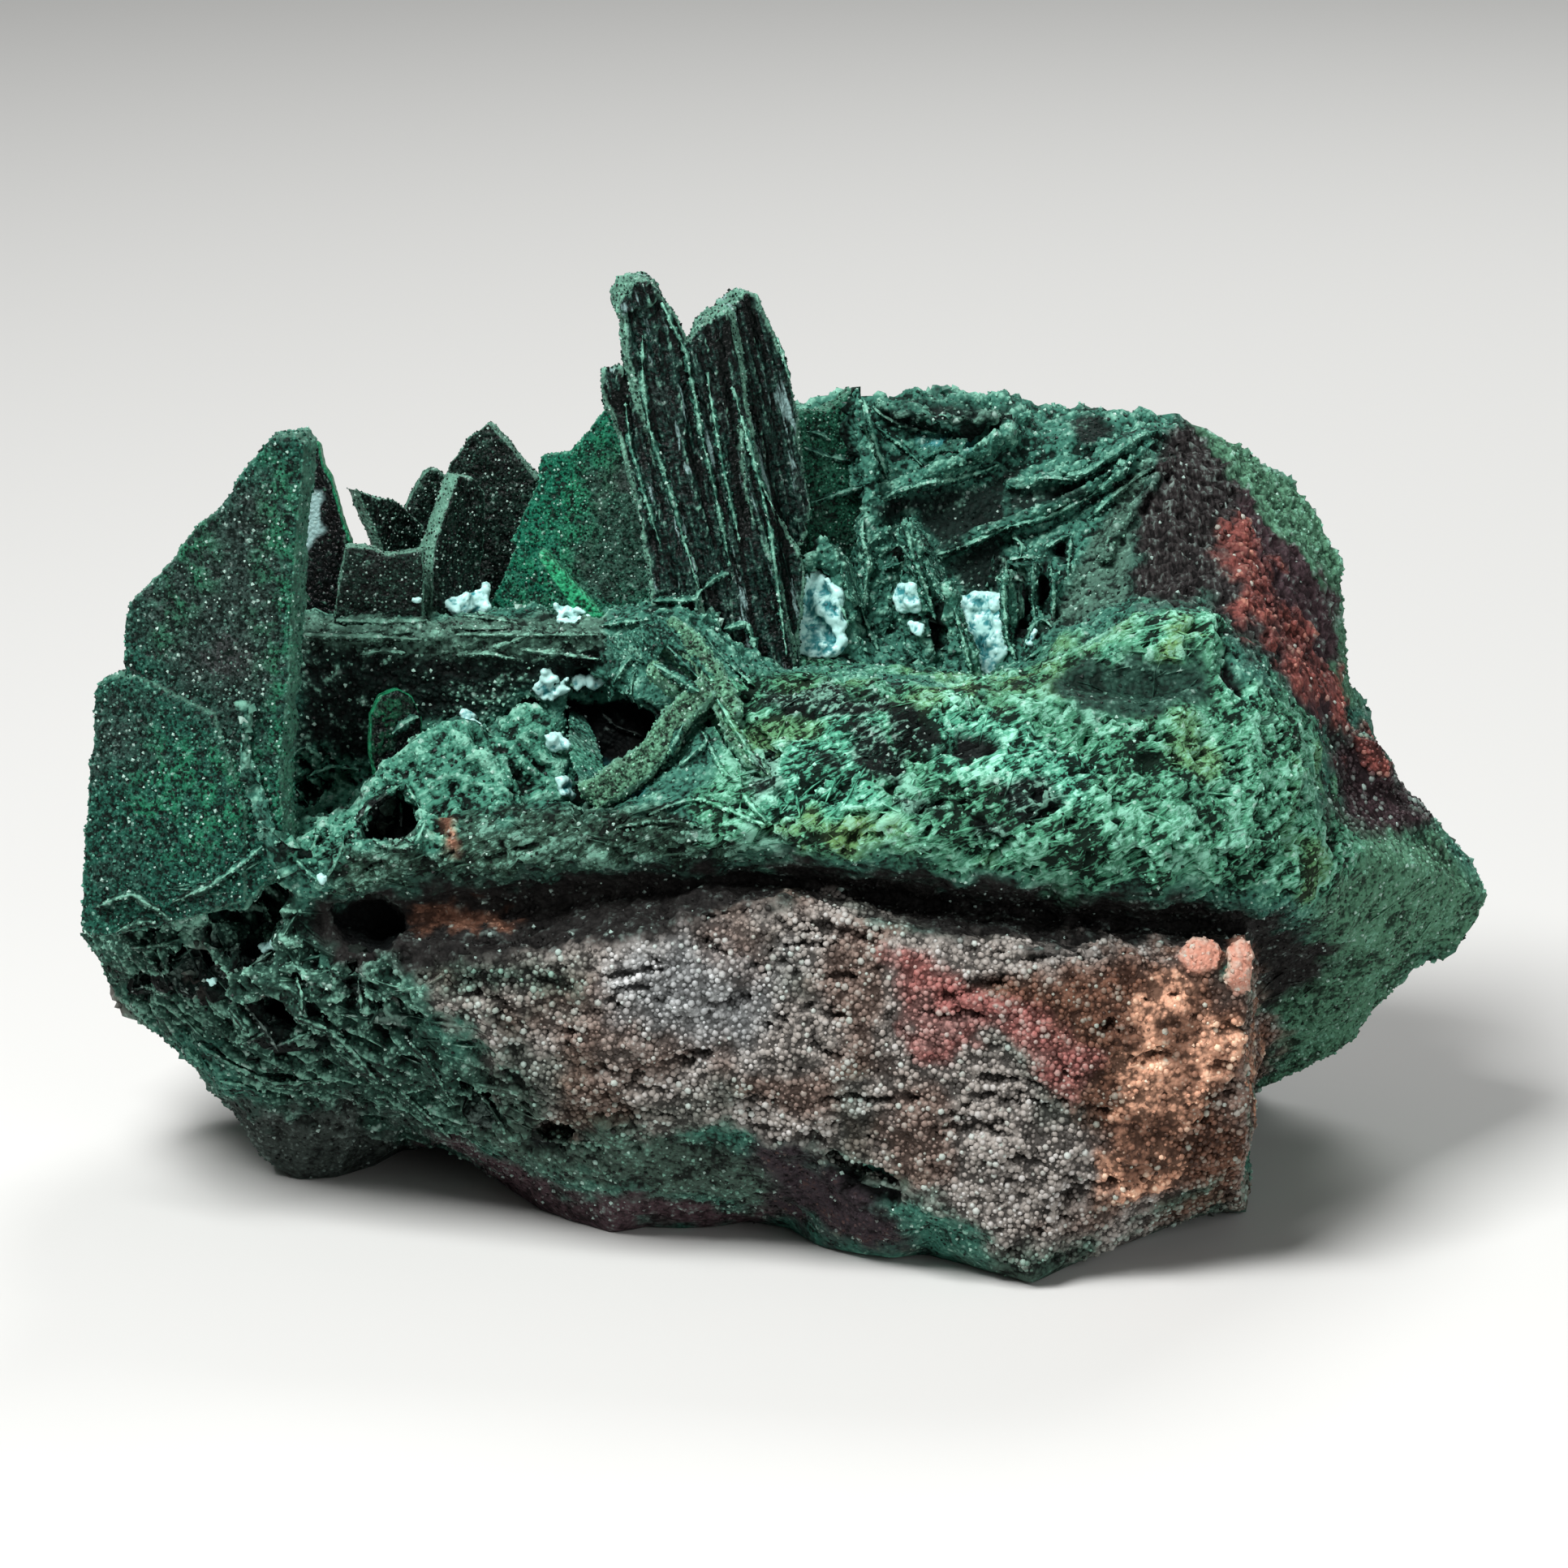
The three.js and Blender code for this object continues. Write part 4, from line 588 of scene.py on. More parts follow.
# Blades: thickness and lift in mm, and the outline
WALL_BLADES = [
    (0.7, 0.9, [(4, 17.9), (5, 17.4), (5.9, 15.4), (6.3, 13.4), (5.1, 14.2), (4.4, 16.2)]),
    (0.8, 1.2, [(9.8, 20.9), (11.4, 18.1), (12.6, 15.9), (13.4, 13.4), (12.1, 14.2), (11, 16.5),
        (10.1, 18.5)]),
    (0.8, 0.5, [(10.2, 25.4), (11.5, 26.6), (14.1, 26.6), (13.8, 25.6), (12.1, 25.6), (10.9, 25)]),
    (0.8, 0.9, [(24, 17.2), (24.9, 18.4), (25.6, 18.6), (25.1, 17.2)]),
]
CENTRE_BLADES = [
    (0.8, 1, [(-10.1, 13), (-7.5, 12.6), (-5.4, 10.4), (-2.6, 7.2), (-4.8, 7.2), (-7.5, 10),
        (-9.6, 11.1)]),
    (0.8, 0.8, [(-13.9, 11), (-10.4, 12.4), (-9, 11), (-10, 9.1), (-11.9, 9.6), (-13.4, 6.2),
        (-13.9, 8.5)]),
    (0.6, 0.6, [(-16.6, 5.9), (-15.6, 6.2), (-14, 2.2), (-13.6, 0.1), (-15.6, -0.1),
        (-16.5, 2.2)]),
]
HOLLOW_BLADES = [
    (0.7, 0.9, [(-25.8, 12.9), (-20.6, 12.4), (-20.4, 11.9), (-25.6, 11.9)]),
]

# Pale crust: dozens of places tried, radius and lift of the lumps in mm, and the outline
CRUST_SPOTS = [
    (30, 0.75, 2.2, [(1.2, 15.6), (2.6, 16.4), (4.2, 14.8), (4.6, 10.4), (3.1, 9.6), (1.1, 10.4)]),
    (16, 0.6, 0.5, [(8.6, 15.2), (9.8, 15.6), (10.6, 13.4), (8.8, 13.4)]),
    (34, 0.75, 0.5, [(13.8, 14), (15, 14.8), (17, 14.4), (17.1, 10.4), (16, 8.1), (14.9, 9), (14.1, 11)]),
    (6, 0.4, 0.5, [(18.6, 11.2), (19.4, 11.9), (19, 10.4)]),
    (6, 0.4, 0.5, [(9.6, 12.5), (10.9, 12.4), (10.5, 11.4), (9.8, 11.8)]),
    (22, 0.6, 0.5, [(-26.2, 13.9), (-24.1, 14.6), (-22.5, 15.6), (-22.9, 13.4), (-25, 13.1)]),
    (8, 0.5, 0.5, [(-18.1, 14), (-16.6, 13.6), (-14.9, 13.1), (-15.2, 11.9), (-17.2, 12.2)]),
    (18, 0.5, 0.5, [(-19.4, 7.4), (-18.6, 8.8), (-16.6, 8.1), (-13.6, 9), (-13.9, 7.5), (-17.2, 7.1),
        (-18.1, 6.1)]),
    (10, 0.5, 0.5, [(-18.6, 3.6), (-17.2, 4.1), (-16.6, 3), (-17.9, 2.6)]),
    (8, 0.5, 0.5, [(-17.8, 0.8), (-16.4, 0.1), (-16.2, -1.1), (-17.2, -0.9)]),
    (10, 0.4, 0.5, [(-25, 5.6), (-23.8, 5.5), (-23.4, 4.4), (-24.4, 4.6)]),
    (6, 0.4, 0.5, [(-40.8, -12.5), (-38.9, -11.9), (-38.8, -12.5), (-40.4, -13.1)]),
    (4, 0.35, 0.5, [(-44.8, -15), (-43.6, -15.1), (-44, -15.6)]),
    (5, 0.35, 0.5, [(-28.9, 14.2), (-27.8, 14.4), (-27.9, 13.9)]),
    (5, 0.35, 0.5, [(-36.1, -6.9), (-35.2, -7.1), (-35.6, -7.9)]),
]


def picture_places(points):
    """Across and up in the picture plane, in mm, of points in metres."""
    offsets = points - np.array(EYE)
    ahead = offsets @ np.array(VIEW_AHEAD)
    across = offsets @ np.array(VIEW_RIGHT) / ahead
    up = offsets @ np.array(VIEW_UP) / ahead
    return np.stack([across, up], 1) * VIEW_DISTANCE / MM


def toward(across, up):
    """Direction from the eye through a place of the picture plane."""
    target = VIEW_MIDDLE + (VIEW_RIGHT * across + VIEW_UP * up) * MM
    return (target - EYE).normalized()


def line_distance(places, line):
    """Distance in mm of each place from an open line of points."""
    nearest = np.full(len(places), np.inf)
    for start, end in zip(line[:-1], line[1:]):
        start, along = np.array(start), np.subtract(end, start)
        share = np.clip((places - start) @ along / (along @ along), 0, 1)
        nearest = np.minimum(nearest, np.linalg.norm(places - start - share[:, None] * along, axis=1))
    return nearest


def inside(places, outline, soft):
    """1 inside the outline and 0 outside it, fading over soft mm on both sides."""
    within = np.zeros(len(places), bool)
    for (x0, y0), (x1, y1) in zip(outline, outline[1:] + outline[:1]):
        crosses = (y0 > places[:, 1]) != (y1 > places[:, 1])
        with np.errstate(divide="ignore", invalid="ignore"):
            edge = x0 + (places[:, 1] - y0) / (y1 - y0) * (x1 - x0)
        within ^= crosses & (places[:, 0] < edge)
    distance = line_distance(places, outline + outline[:1])
    return smooth(np.where(within, distance, -distance), -soft, soft)


def smooth(values, low, high):
    share = np.clip((values - low) / (high - low), 0, 1)
    return share * share * (3 - 2 * share)


def lattice_noise(points, scale, seed=0):
    """Smooth noise from 0 to 1 at points, with features about scale across."""
    cell = np.floor(points / scale).astype(np.int64)
    share = points / scale - cell
    share = share * share * (3 - 2 * share)
    total = np.zeros(len(points))
    for corner in np.ndindex(2, 2, 2):
        x, y, z = (cell + corner).T
        mixed = (x * 73856093) ^ (y * 19349663) ^ (z * 83492791) ^ (seed * 2654435761)
        mixed = (mixed ^ (mixed >> 13)) * 1274126177
        value = ((mixed ^ (mixed >> 16)) & 0xFFFF) / 0xFFFF
        weight = np.prod(np.where(corner, share, 1 - share), axis=1)
        total += weight * value
    return total


# Meshes


def only(piece):
    """Selects one piece and makes it active."""
    bpy.ops.object.select_all(action="DESELECT")
    piece.select_set(True)
    bpy.context.view_layer.objects.active = piece


def copy_of_node(name, new_name):
    """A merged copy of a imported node, standing at the origin."""
    source = frame["nodes"][name]
    piece = bpy.data.objects.new(new_name, source.data.copy())
    bpy.context.scene.collection.objects.link(piece)
    piece.data.materials.clear()
    only(piece)
    bpy.ops.object.mode_set(mode="EDIT")
    bpy.ops.mesh.select_all(action="SELECT")
    bpy.ops.mesh.remove_doubles(threshold=MM / 1000)
    bpy.ops.object.mode_set(mode="OBJECT")
    return piece


def apply_modifier(piece, kind, **settings):
    only(piece)
    modifier = piece.modifiers.new(kind.lower(), kind)
    for name, value in settings.items():
        setattr(modifier, name, value)
    bpy.ops.object.modifier_apply(modifier=modifier.name)


def read_vectors(data):
    values = np.empty(len(data) * 3, np.float32)
    data.foreach_get("vector", values)
    return values.reshape(-1, 3).astype(float)


def read_points(mesh):
    return read_vectors(mesh.attributes["position"].data)


def vertex_normals(mesh):
    return read_vectors(mesh.vertex_normals)


def turned_to_eye(points, normals):
    """1 where the surface faces the eye, 0 where it is seen edge on and -1 where it faces away."""
    to_eye = np.array(EYE) - points
    to_eye /= np.linalg.norm(to_eye, axis=1)[:, None]
    return (normals * to_eye).sum(1)


def store_numbers(mesh, name, values):
    attribute = mesh.attributes.new(name, "FLOAT", "POINT")
    attribute.data.foreach_set("value", values.astype(np.float32))


def store_colours(mesh, name, colours):
    attribute = mesh.attributes.new(name, "FLOAT_COLOR", "POINT")
    opaque = np.concatenate([colours, np.ones((len(colours), 1))], 1)
    attribute.data.foreach_set("color", opaque.astype(np.float32).ravel())


def geometry_group(name):
    """A geometry group with a mesh going in and a mesh coming out."""
    tree = bpy.data.node_groups.new(name, "GeometryNodeTree")
    tree.interface.new_socket("Geometry", in_out="INPUT", socket_type="NodeSocketGeometry")
    tree.interface.new_socket("Geometry", in_out="OUTPUT", socket_type="NodeSocketGeometry")
    graph = Graph(tree)
    return graph, graph.node("NodeGroupInput")


def named(graph, name):
    settings = {"data_type": "FLOAT"}
    return graph.node("GeometryNodeInputNamedAttribute", settings, {"Name": name})


def stored(graph, mesh, name, value, kind="FLOAT", domain="POINT"):
    """The mesh with the value stored on it under the name."""
    settings = {"data_type": kind, "domain": domain}
    values = {"Geometry": mesh, "Name": name, "Value": value}
    return graph.node("GeometryNodeStoreNamedAttribute", settings, values)


def mesh_of(graph, piece):
    """The mesh of another piece."""
    settings = {"transform_space": "ORIGINAL"}
    return graph.node("GeometryNodeObjectInfo", settings, {"Object": piece}, "Geometry")


def apply_group(piece, graph, result):
    graph.add("NodeGroupOutput", {}, {0: result})
    apply_modifier(piece, "NODES", node_group=graph.tree)


def shift_along_normal(graph, mesh, height):
    """Moves every point of the mesh along its normal by height in mm."""
    normal = graph.node("GeometryNodeInputNormal")
    offset = graph.vector_maths("SCALE", {0: normal, "Scale": height * MM})
    return graph.node("GeometryNodeSetPosition", {}, {"Geometry": mesh, "Offset": offset})


def with_sharpness(graph, mesh, rounds, reach):
    """Stores how far each point stands out of its surroundings, from -1 in pits to 1 on ridges."""
    position = graph.node("GeometryNodeInputPosition")
    settings = {"data_type": "FLOAT_VECTOR"}
    values = {"Value": position, "Iterations": rounds}
    around = graph.node("GeometryNodeBlurAttribute", settings, values)
    apart = graph.vector_maths("SUBTRACT", {0: position, 1: around})
    normal = graph.node("GeometryNodeInputNormal")
    out = graph.vector_maths("DOT_PRODUCT", {0: apart, 1: normal}, "Value")
    return stored(graph, mesh, "sharp", out * (1 / (reach * MM)))


def millimetres(graph):
    position = graph.node("GeometryNodeInputPosition")
    return graph.vector_maths("SCALE", {0: position, "Scale": 1 / MM})


# Zones of the rock

# Names under which the hollow, middle and ridge colour of every point are stored
# The hollow colour darkens the pits as painted shade; the ridge colour pales the ridges, partly as painted
# highlight.
TONES = ("hollow_tone", "middle_tone", "ridge_tone")
# Ridge colours of the lower face, its silver grains and its orange crust
FACE_RIDGES = (0.75, 0.76, 0.76)
SILVER_RIDGES = (0.85, 0.88, 0.88)
ORANGE_RIDGES = (0.95, 0.7, 0.5)


def shades(colour, dark, pale, tint):
    """Hollow, middle and ridge colours of a zone, from its middle colour. The hollow colour is darkened as
    painted shade and the ridge colour paled, partly as painted highlight.
    """
    middle = np.array(colour)
    return np.array([middle * dark, middle, middle + (np.array(tint) - middle) * pale])


def zone_list(colours):
    """Zones from the lowest coat to the top one: name, masks, shades, softness in mm."""
    white = colours.sparkle
    pale = colours.pale
    mint = colours.gleam
    purple = np.array(colours.knobs) * 1.5
    # Openings, holes and pockets are painted near-black as the shade inside them.
    openings = [HOLLOW_DEEP, CAVE, HOOD_OPENING, *WALL_SLOTS]
    fringes = [GREEN_FRINGE, LOW_FRINGE, BOTTOM_GLOW]
    return [
        ("tip", [TIP], shades(colours.tip, 0.15, 0.4, pale), 2.0),
        ("network", [NETWORK], shades(colours.network, 0.1, 0.58, pale), 1.2),
        # Painted shade: the wall under the ledge at the back of the left hollow.
        ("hollow_back", [HOLLOW_BACK], shades(colours.hollow, 0.2, 0.85, pale), 0.8),
        ("ledge", [LEDGE, WALL_CORNER], shades(colours.ledge, 0.1, 0.5, pale), 0.4),
        ("flats", WALL_FLATS, shades(colours.hollow, 0.5, 0.3, pale), 0.35),
        ("hood", [HOOD, HOLLOW_CORNER], shades(colours.hood, 0.03, 0.65, pale), 0.5),
        ("mass", [MASS], shades(colours.mass, 0.05, 0.55, mint), 1.0),
        # Partly painted light on the lit top and middle of the mass, over the mineral's brighter green.
        ("glow", [MASS_GLOW, CREST_GLOW, SLOPE_GLOW], shades(colours.glow, 0.04, 0.95, mint), 2.2),
        ("yellow_patches", YELLOW_PATCHES, shades(colours.yellow, 0.1, 0.5, pale), 1.2),
        ("yellow_stain", [MASS], shades(colours.yellow, 0.1, 0.5, pale), 1.0),
        ("lens", [LENS], shades(colours.network, 0.25, 0.35, pale), 0.7),
        ("darks", MASS_DARKS, shades(colours.hollow, 0.25, 0.6, pale), 0.5),
        ("lip", [LIP], shades(colours.lip, 0.12, 0.3, mint), 0.9),
        ("face", [LOWER_FACE], shades(colours.face, 0.2, 0.32, FACE_RIDGES), 1.0),
        ("green_stain", [LOWER_FACE], shades(colours.fringe, 0.25, 0.4, white), 0.7),
        ("red_stain", [LOWER_FACE], shades(colours.rust, 0.3, 0.4, white), 0.7),
        ("under_fringe", [UNDER_FRINGE], shades(colours.fringe, 0.12, 0.5, pale), 0.8),
        ("grey_underside", [GREY_UNDERSIDE], shades(purple, 0.25, 0.35, white), 1.0),
        ("red_underside", [RED_UNDERSIDE], shades(colours.brown, 0.25, 0.35, colours.rust), 1.4),
        ("silver", [SILVER], shades(colours.silver, 0.3, 0.5, SILVER_RIDGES), 2.6),
        ("rust", [RUST_BAND], shades(colours.rust, 0.25, 0.25, white), 2.4),
        ("crimson", [CRIMSON], shades(colours.crimson, 0.3, 0.3, white), 1.6),
        ("orange", [ORANGE], shades(colours.orange, 0.2, 0.75, ORANGE_RIDGES), 1.2),
        ("fringe", fringes, shades(colours.fringe, 0.12, 0.4, pale), 1.8),
        # Painted shadow under the overhang.
        ("overhang", [OVERHANG], shades(colours.overhang, 0.4, 0.14, white), 0.9),
        ("salmon", SALMON, shades(colours.salmon, 0.4, 0.3, white), 0.25),
        ("orange_bits", ORANGE_BITS, shades(colours.rust, 0.3, 0.5, colours.orange), 0.8),
        ("block", [BLOCK], shades(colours.block, 0.15, 0.2, white), 0.7),
        ("smooth_block", [SMOOTH_BLOCK], shades(colours.knobs, 0.5, 0.3, white), 0.5),
        ("block_rim", [BLOCK_RIM], shades(colours.tip, 0.3, 0.5, pale), 0.5),
        ("knobs", [KNOBS], shades(colours.knobs, 0.25, 0.35, white), 0.8),
        ("olive", [LOW_LUMP], shades(colours.olive, 0.2, 0.25, white), 1.0),
        ("scoop", [SCOOP], shades(colours.hollow, 0.5, 0.3, pale), 0.4),
        # Painted shade: near-black inside the openings, pockets and holes.
        ("deep", openings, shades(colours.gloss, 0.4, 0.08, white), 0.3),
        ("pockets", POCKETS, shades(colours.hollow, 0.25, 0.2, white), 0.4),
        ("holes", HOLES, shades(colours.gloss, 0.2, 0.02, white), 0.3),
        ("teal", TEAL_SPOTS, shades(colours.teal, 0.4, 0.3, white), 0.4),
    ]


def zone_shares(points, normals, zones):
    """How much of each zone every point has. Zone edges wander with the noise."""
    wander = np.stack([lattice_noise(points, 1.6 * MM, seed) for seed in (1, 2)], 1) - 0.5
    wander += 0.5 * (np.stack([lattice_noise(points, 0.6 * MM, seed) for seed in (3, 4)], 1) - 0.5)
    sway = np.stack([lattice_noise(points, 5 * MM, seed) for seed in (5, 6)], 1) - 0.5
    straight = picture_places(points)
    turned = turned_to_eye(points, normals)
    facing = smooth(turned, -0.25, 0.1)
    shares = {}
    for name, outlines, _, soft in zones:
        places = straight + min(2.4, 2.4 * soft) * wander + (4 * sway if soft >= 1 else 0)
        share = np.max([inside(places, outline, soft) for outline in outlines], axis=0)
        shares[name] = share * facing
    shares["salmon"] *= smooth(turned, 0.2, 0.5)
    near_vein = 1 - smooth(line_distance(straight + 2.4 * wander, VEIN), 0.7, 2.2)
    shares["vein"] = near_vein * facing * np.clip(
        shares["block"] + shares["knobs"] + shares["smooth_block"], 0, 1)
    return shares, facing


# Stains, and the seed of the noise that spreads each
STAINS = {"green_stain": 21, "red_stain": 22, "yellow_stain": 23}
# Zones that other colours show through in blotches, and the least share that is left of them
BLOTCHES = {"orange": 0.15, "crimson": 0.7, "yellow_patches": 0.2, "vein": 0.6}
# Zones that the noise breaks up at their edges
BROKEN_ZONES = ["orange", "orange_bits", "block_rim", "crimson", "vein", "glow", "rust", "darks", "lip"]


def paint_zones(mesh, points, normals, colours):
    """Stores the hollow, middle and ridge colour of every point, and returns the zone shares."""
    zones = zone_list(colours)
    shares, facing = zone_shares(points, normals, zones)
    base = shades(colours.rock, 0.08, 0.65, colours.pale)
    back = shades(np.array(colours.face) * 0.5, 0.3, 0.3, colours.sparkle)
    clouds = lattice_noise(points, 14 * MM, 5) + 0.4 * lattice_noise(points, 4 * MM, 6)
    patchy = smooth(clouds, 0.62, 0.85)
    patchy *= (1 - facing) * (1 - smooth(points[:, 2], 25 * MM, 40 * MM))
    rear = shades(np.array(colours.rock) * 0.65, 0.1, 0.45, colours.pale)
    layers = [(facing * (1 - patchy), base), ((1 - facing) * (1 - patchy), rear), (patchy, back)]
    tones = sum(share[:, None, None] * colour[None] for share, colour in layers)
    coats = zones + [("vein", None, shades(colours.vein, 0.2, 0.7, colours.salmon), 0)]
    broken = 0.5 * lattice_noise(points, 1.1 * MM, 8) + 0.6 * lattice_noise(points, 2.6 * MM, 10)
    for name, _, colour, _ in coats:
        share = shares[name]
        if name in BROKEN_ZONES:
            share = share * smooth(share + broken, 0.8, 1.2)
        if name in BLOTCHES:
            share = share * (BLOTCHES[name] + (1 - BLOTCHES[name]) * smooth(broken, 0.44, 0.6))
        if name in STAINS:
            wide = lattice_noise(points, 5 * MM, STAINS[name]) + 0.35 * (broken - 0.5)
            share = share * smooth(wide, 0.55, 0.8) * 0.6
        tones += share[:, None, None] * (colour[None] - tones)
    for index, name in enumerate(TONES):
        store_colours(mesh, name, tones[:, index])
    return shares, facing


def druse_amounts(shares, facing, above_base, up):
    """How densely each kind of druse grows on every point."""
    bare = shares["deep"] + shares["scoop"] * 0.5 + shares["holes"] + shares["block"] * 0.8
    mass_druse = smooth(shares["mass"] + shares["glow"], 0.2, 0.6) * (1 - shares["darks"] * 0.5)
    grains = shares["face"] * (1 - shares["salmon"]) * (1 - shares["holes"])
    grains = grains * (1 - 0.6 * shares["orange"]) * (1 - shares["overhang"])
    grains = np.maximum(grains, shares["knobs"] * 0.7 + shares["vein"] * 0.3)
    other = mass_druse + grains + 0.6 * shares["overhang"] + shares["smooth_block"] * 0.7
    plain = facing * (1 - np.clip(other, 0, 1)) * (1 - np.clip(bare, 0, 1)) * above_base
    upper = smooth(up, -3, 0)
    return {
        "mass_druse": mass_druse,
        "wall_druse": plain * upper,
        "low_druse": plain * (1 - upper),
        "face_grains": grains * above_base,
        "back_druse": (1 - facing) * above_base,
    }


def relief_amounts(mesh, points, shares, facing):
    """Stores how strongly each kind of relief and druse works on every point."""
    up = picture_places(points)[:, 1]
    above_base = smooth(points[:, 2], 0.3 * MM, 2.5 * MM)
    calm = np.clip(shares["flats"] * 0.65 + shares["lens"] * 0.4, 0, 1)
    fibres = shares["mass"] * (1 - shares["overhang"]) + 0.6 * shares["lip"] + 0.45 * shares["hood"]
    cells = np.clip(shares["network"] + 0.5 * shares["fringe"] + 0.5 * shares["hood"], 0, 1)
    upright = shares["block"] * (1 - shares["smooth_block"]) * (1 - shares["vein"])
    covered = fibres + cells + upright + shares["face"] + shares["overhang"] + shares["hood"]
    sunken = 0.9 * shares["holes"] + 1.3 * shares["pockets"] + 0.5 * shares["lens"] + 0.8 * shares["deep"]
    sunken -= 0.7 * shares["salmon"] + 0.35 * shares["vein"] + 0.3 * shares["orange"]
    amounts = {
        "height_share": above_base * (1 - calm),
        "fibrous": fibres * (1 - shares["lens"]),
        "cellular": cells,
        "rim": smooth(up, 22, 27),
        "upright": upright,
        "ribbed": facing * (1 - np.clip(covered, 0, 1)) * smooth(up, 6, 12),
        "stepped": shares["face"],
        "sunken": sunken,
        **druse_amounts(shares, facing, above_base, up),
        "rear": 1 - facing,
    }
    for name, values in amounts.items():
        store_numbers(mesh, name, values)


def swing(noise):
    """Noise spread over about -1 to 1."""
    return (noise - 0.5) * 4


def fibre_relief(graph, at, sizes):
    """Leaning ridges with pits and pockets between them."""
    leaning = graph.stretched(at, (1.7, 1.0, 0.8), 24)
    strands = swing(graph.noise(leaning, 0.58, detail=5, roughness=0.66, distortion=1.4))
    ridged = 0.5 - strands.maths("ABSOLUTE") * 1.1
    pockets = graph.noise(at, 0.17, detail=4, roughness=0.6).rising(0.43, 0.36)
    holes = graph.noise(leaning, 0.5, detail=4, roughness=0.6, distortion=0.6).rising(0.45, 0.37)
    swells = swing(graph.noise(leaning, 0.15, detail=2)) * 0.7
    return swells + ridged * (sizes.fibres / MM) - (holes + pockets * 0.7) * (sizes.pits / MM)


def cell_relief(graph, at, sizes):
    """Deep cells with narrow walls between them."""
    cell_place = graph.stretched(at, (1.5, 1, 0.8), -30)
    edges = graph.cells(cell_place, 0.4, "DISTANCE_TO_EDGE").rising(0.03, 0.32)
    return (0.25 - edges) * (sizes.cells / MM)


def broken_reliefs(graph, at):
    """Steps and crevices of the lower face, and facets and cracks of the back."""
    crevices = graph.noise(graph.stretched(at, (2.5, 1, 0.8)), 0.5, detail=5, roughness=0.65)
    long_steps = swing(graph.noise(graph.stretched(at, (4, 1.5, 1.2), -12), 0.35, detail=4)) * 0.45
    bumps = swing(graph.noise(at, 0.6, detail=3, roughness=0.6)) * 0.3
    steps = crevices.rising(0.44, 0.36) * -1.2 + long_steps + bumps
    facets = graph.cells(graph.stretched(at, (9, 7, 6), 20), 1.0).rising(0.1, 0.75) * -1.8
    heaves = swing(graph.noise(at, 0.16, detail=4, roughness=0.6)) * 0.6
    cracks = crevices.rising(0.47, 0.4) * -1.1 + heaves
    rear = facets + cracks + long_steps + 0.9
    return steps * named(graph, "stepped"), rear * named(graph, "rear")


def relief_of_rock(piece, sizes):
    """Displaces the rock: lumps everywhere, and fibres, cells, ribs and pits in their zones."""
    graph, mesh = geometry_group("rock relief")
    at = millimetres(graph)
    broad = swing(graph.noise(at, 0.28, detail=3))
    fine = swing(graph.noise(at, 1.0, detail=3, roughness=0.6))
    lumps = (broad * 0.6 + fine * 0.45) * (sizes.lumps / MM)
    lumps = lumps + swing(graph.noise(at, 0.4, detail=3)) * 0.7 * named(graph, "rim")
    fibres = fibre_relief(graph, at, sizes) * named(graph, "fibrous")
    cells = cell_relief(graph, at, sizes) * named(graph, "cellular")
    grained = graph.stretched(at, (0.55, 0.8, 6), 8)
    upright = swing(graph.noise(grained, 1.0, detail=4, roughness=0.65)) * 0.65 * named(graph, "upright")
    flowing = graph.stretched(at, (4, 1, 0.5), 24)
    ribs = swing(graph.noise(flowing, 1.0, detail=4)) * (sizes.ribs / MM) * named(graph, "ribbed")
    steps, rear = broken_reliefs(graph, at)
    raised = lumps + fibres + cells + upright + ribs + steps + rear - named(graph, "sunken")
    total = raised * named(graph, "height_share")
    moved = shift_along_normal(graph, mesh, total)
    apply_group(piece, graph, with_sharpness(graph, moved, 5, 0.4))


def keep_on_base(piece, limits):
    """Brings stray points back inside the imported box, so that the rock rests as it was packed."""
    low, high = limits
    points = read_points(piece.data)
    points = np.clip(points, np.array(low), np.array(high))
    piece.data.vertices.foreach_set("co", points.astype(np.float32).ravel())
    piece.data.update()


def thin_out_back(piece, ratio):
    """Removes faces where the specimen is seen least, so that the front keeps its detail."""
    mesh = piece.data
    seen = smooth(turned_to_eye(read_points(mesh), vertex_normals(mesh)), -0.3, 0.2)
    group = piece.vertex_groups.new(name="thin")
    steps = np.round((1 - 0.92 * seen) * 20).astype(int)
    for step in np.unique(steps):
        group.add(np.flatnonzero(steps == step).tolist(), step / 20, "REPLACE")
    apply_modifier(piece, "DECIMATE", ratio=ratio, vertex_group="thin", vertex_group_factor=1)
    piece.vertex_groups.clear()


# Materials


def new_material(name):
    material = bpy.data.materials.new(name)
    material.use_nodes = True
    graph = Graph(material.node_tree)
    shader = material.node_tree.nodes["Principled BSDF"]
    return material, graph, shader


def connect(graph, wire, shader, name):
    graph.tree.links.new(wire.socket, shader.inputs[name])


def attribute(graph, name, output="Color"):
    return graph.node("ShaderNodeAttribute", {"attribute_name": name}, {}, output)


def object_millimetres(graph):
    place = graph.node("ShaderNodeTexCoord", {}, {}, "Object")
    return graph.vector_maths("SCALE", {0: place, "Scale": 1 / MM})


def bumped(graph, height, depth):
    """A normal from height, with depth in mm."""
    settings = {"Strength": 1.0, "Distance": depth * MM, "Height": height}
    return graph.node("ShaderNodeBump", {}, settings)


def zone_coat(graph, tone):
    """The zone's hollow colour at tone 0, its middle colour at 0.5 and its ridge colour at 1.15."""
    hollow, middle, ridge = (attribute(graph, name) for name in TONES)
    coat = graph.blend(tone.rising(0, 0.5), hollow, middle)
    return graph.blend(tone.rising(0.5, 1.15), coat, ridge)


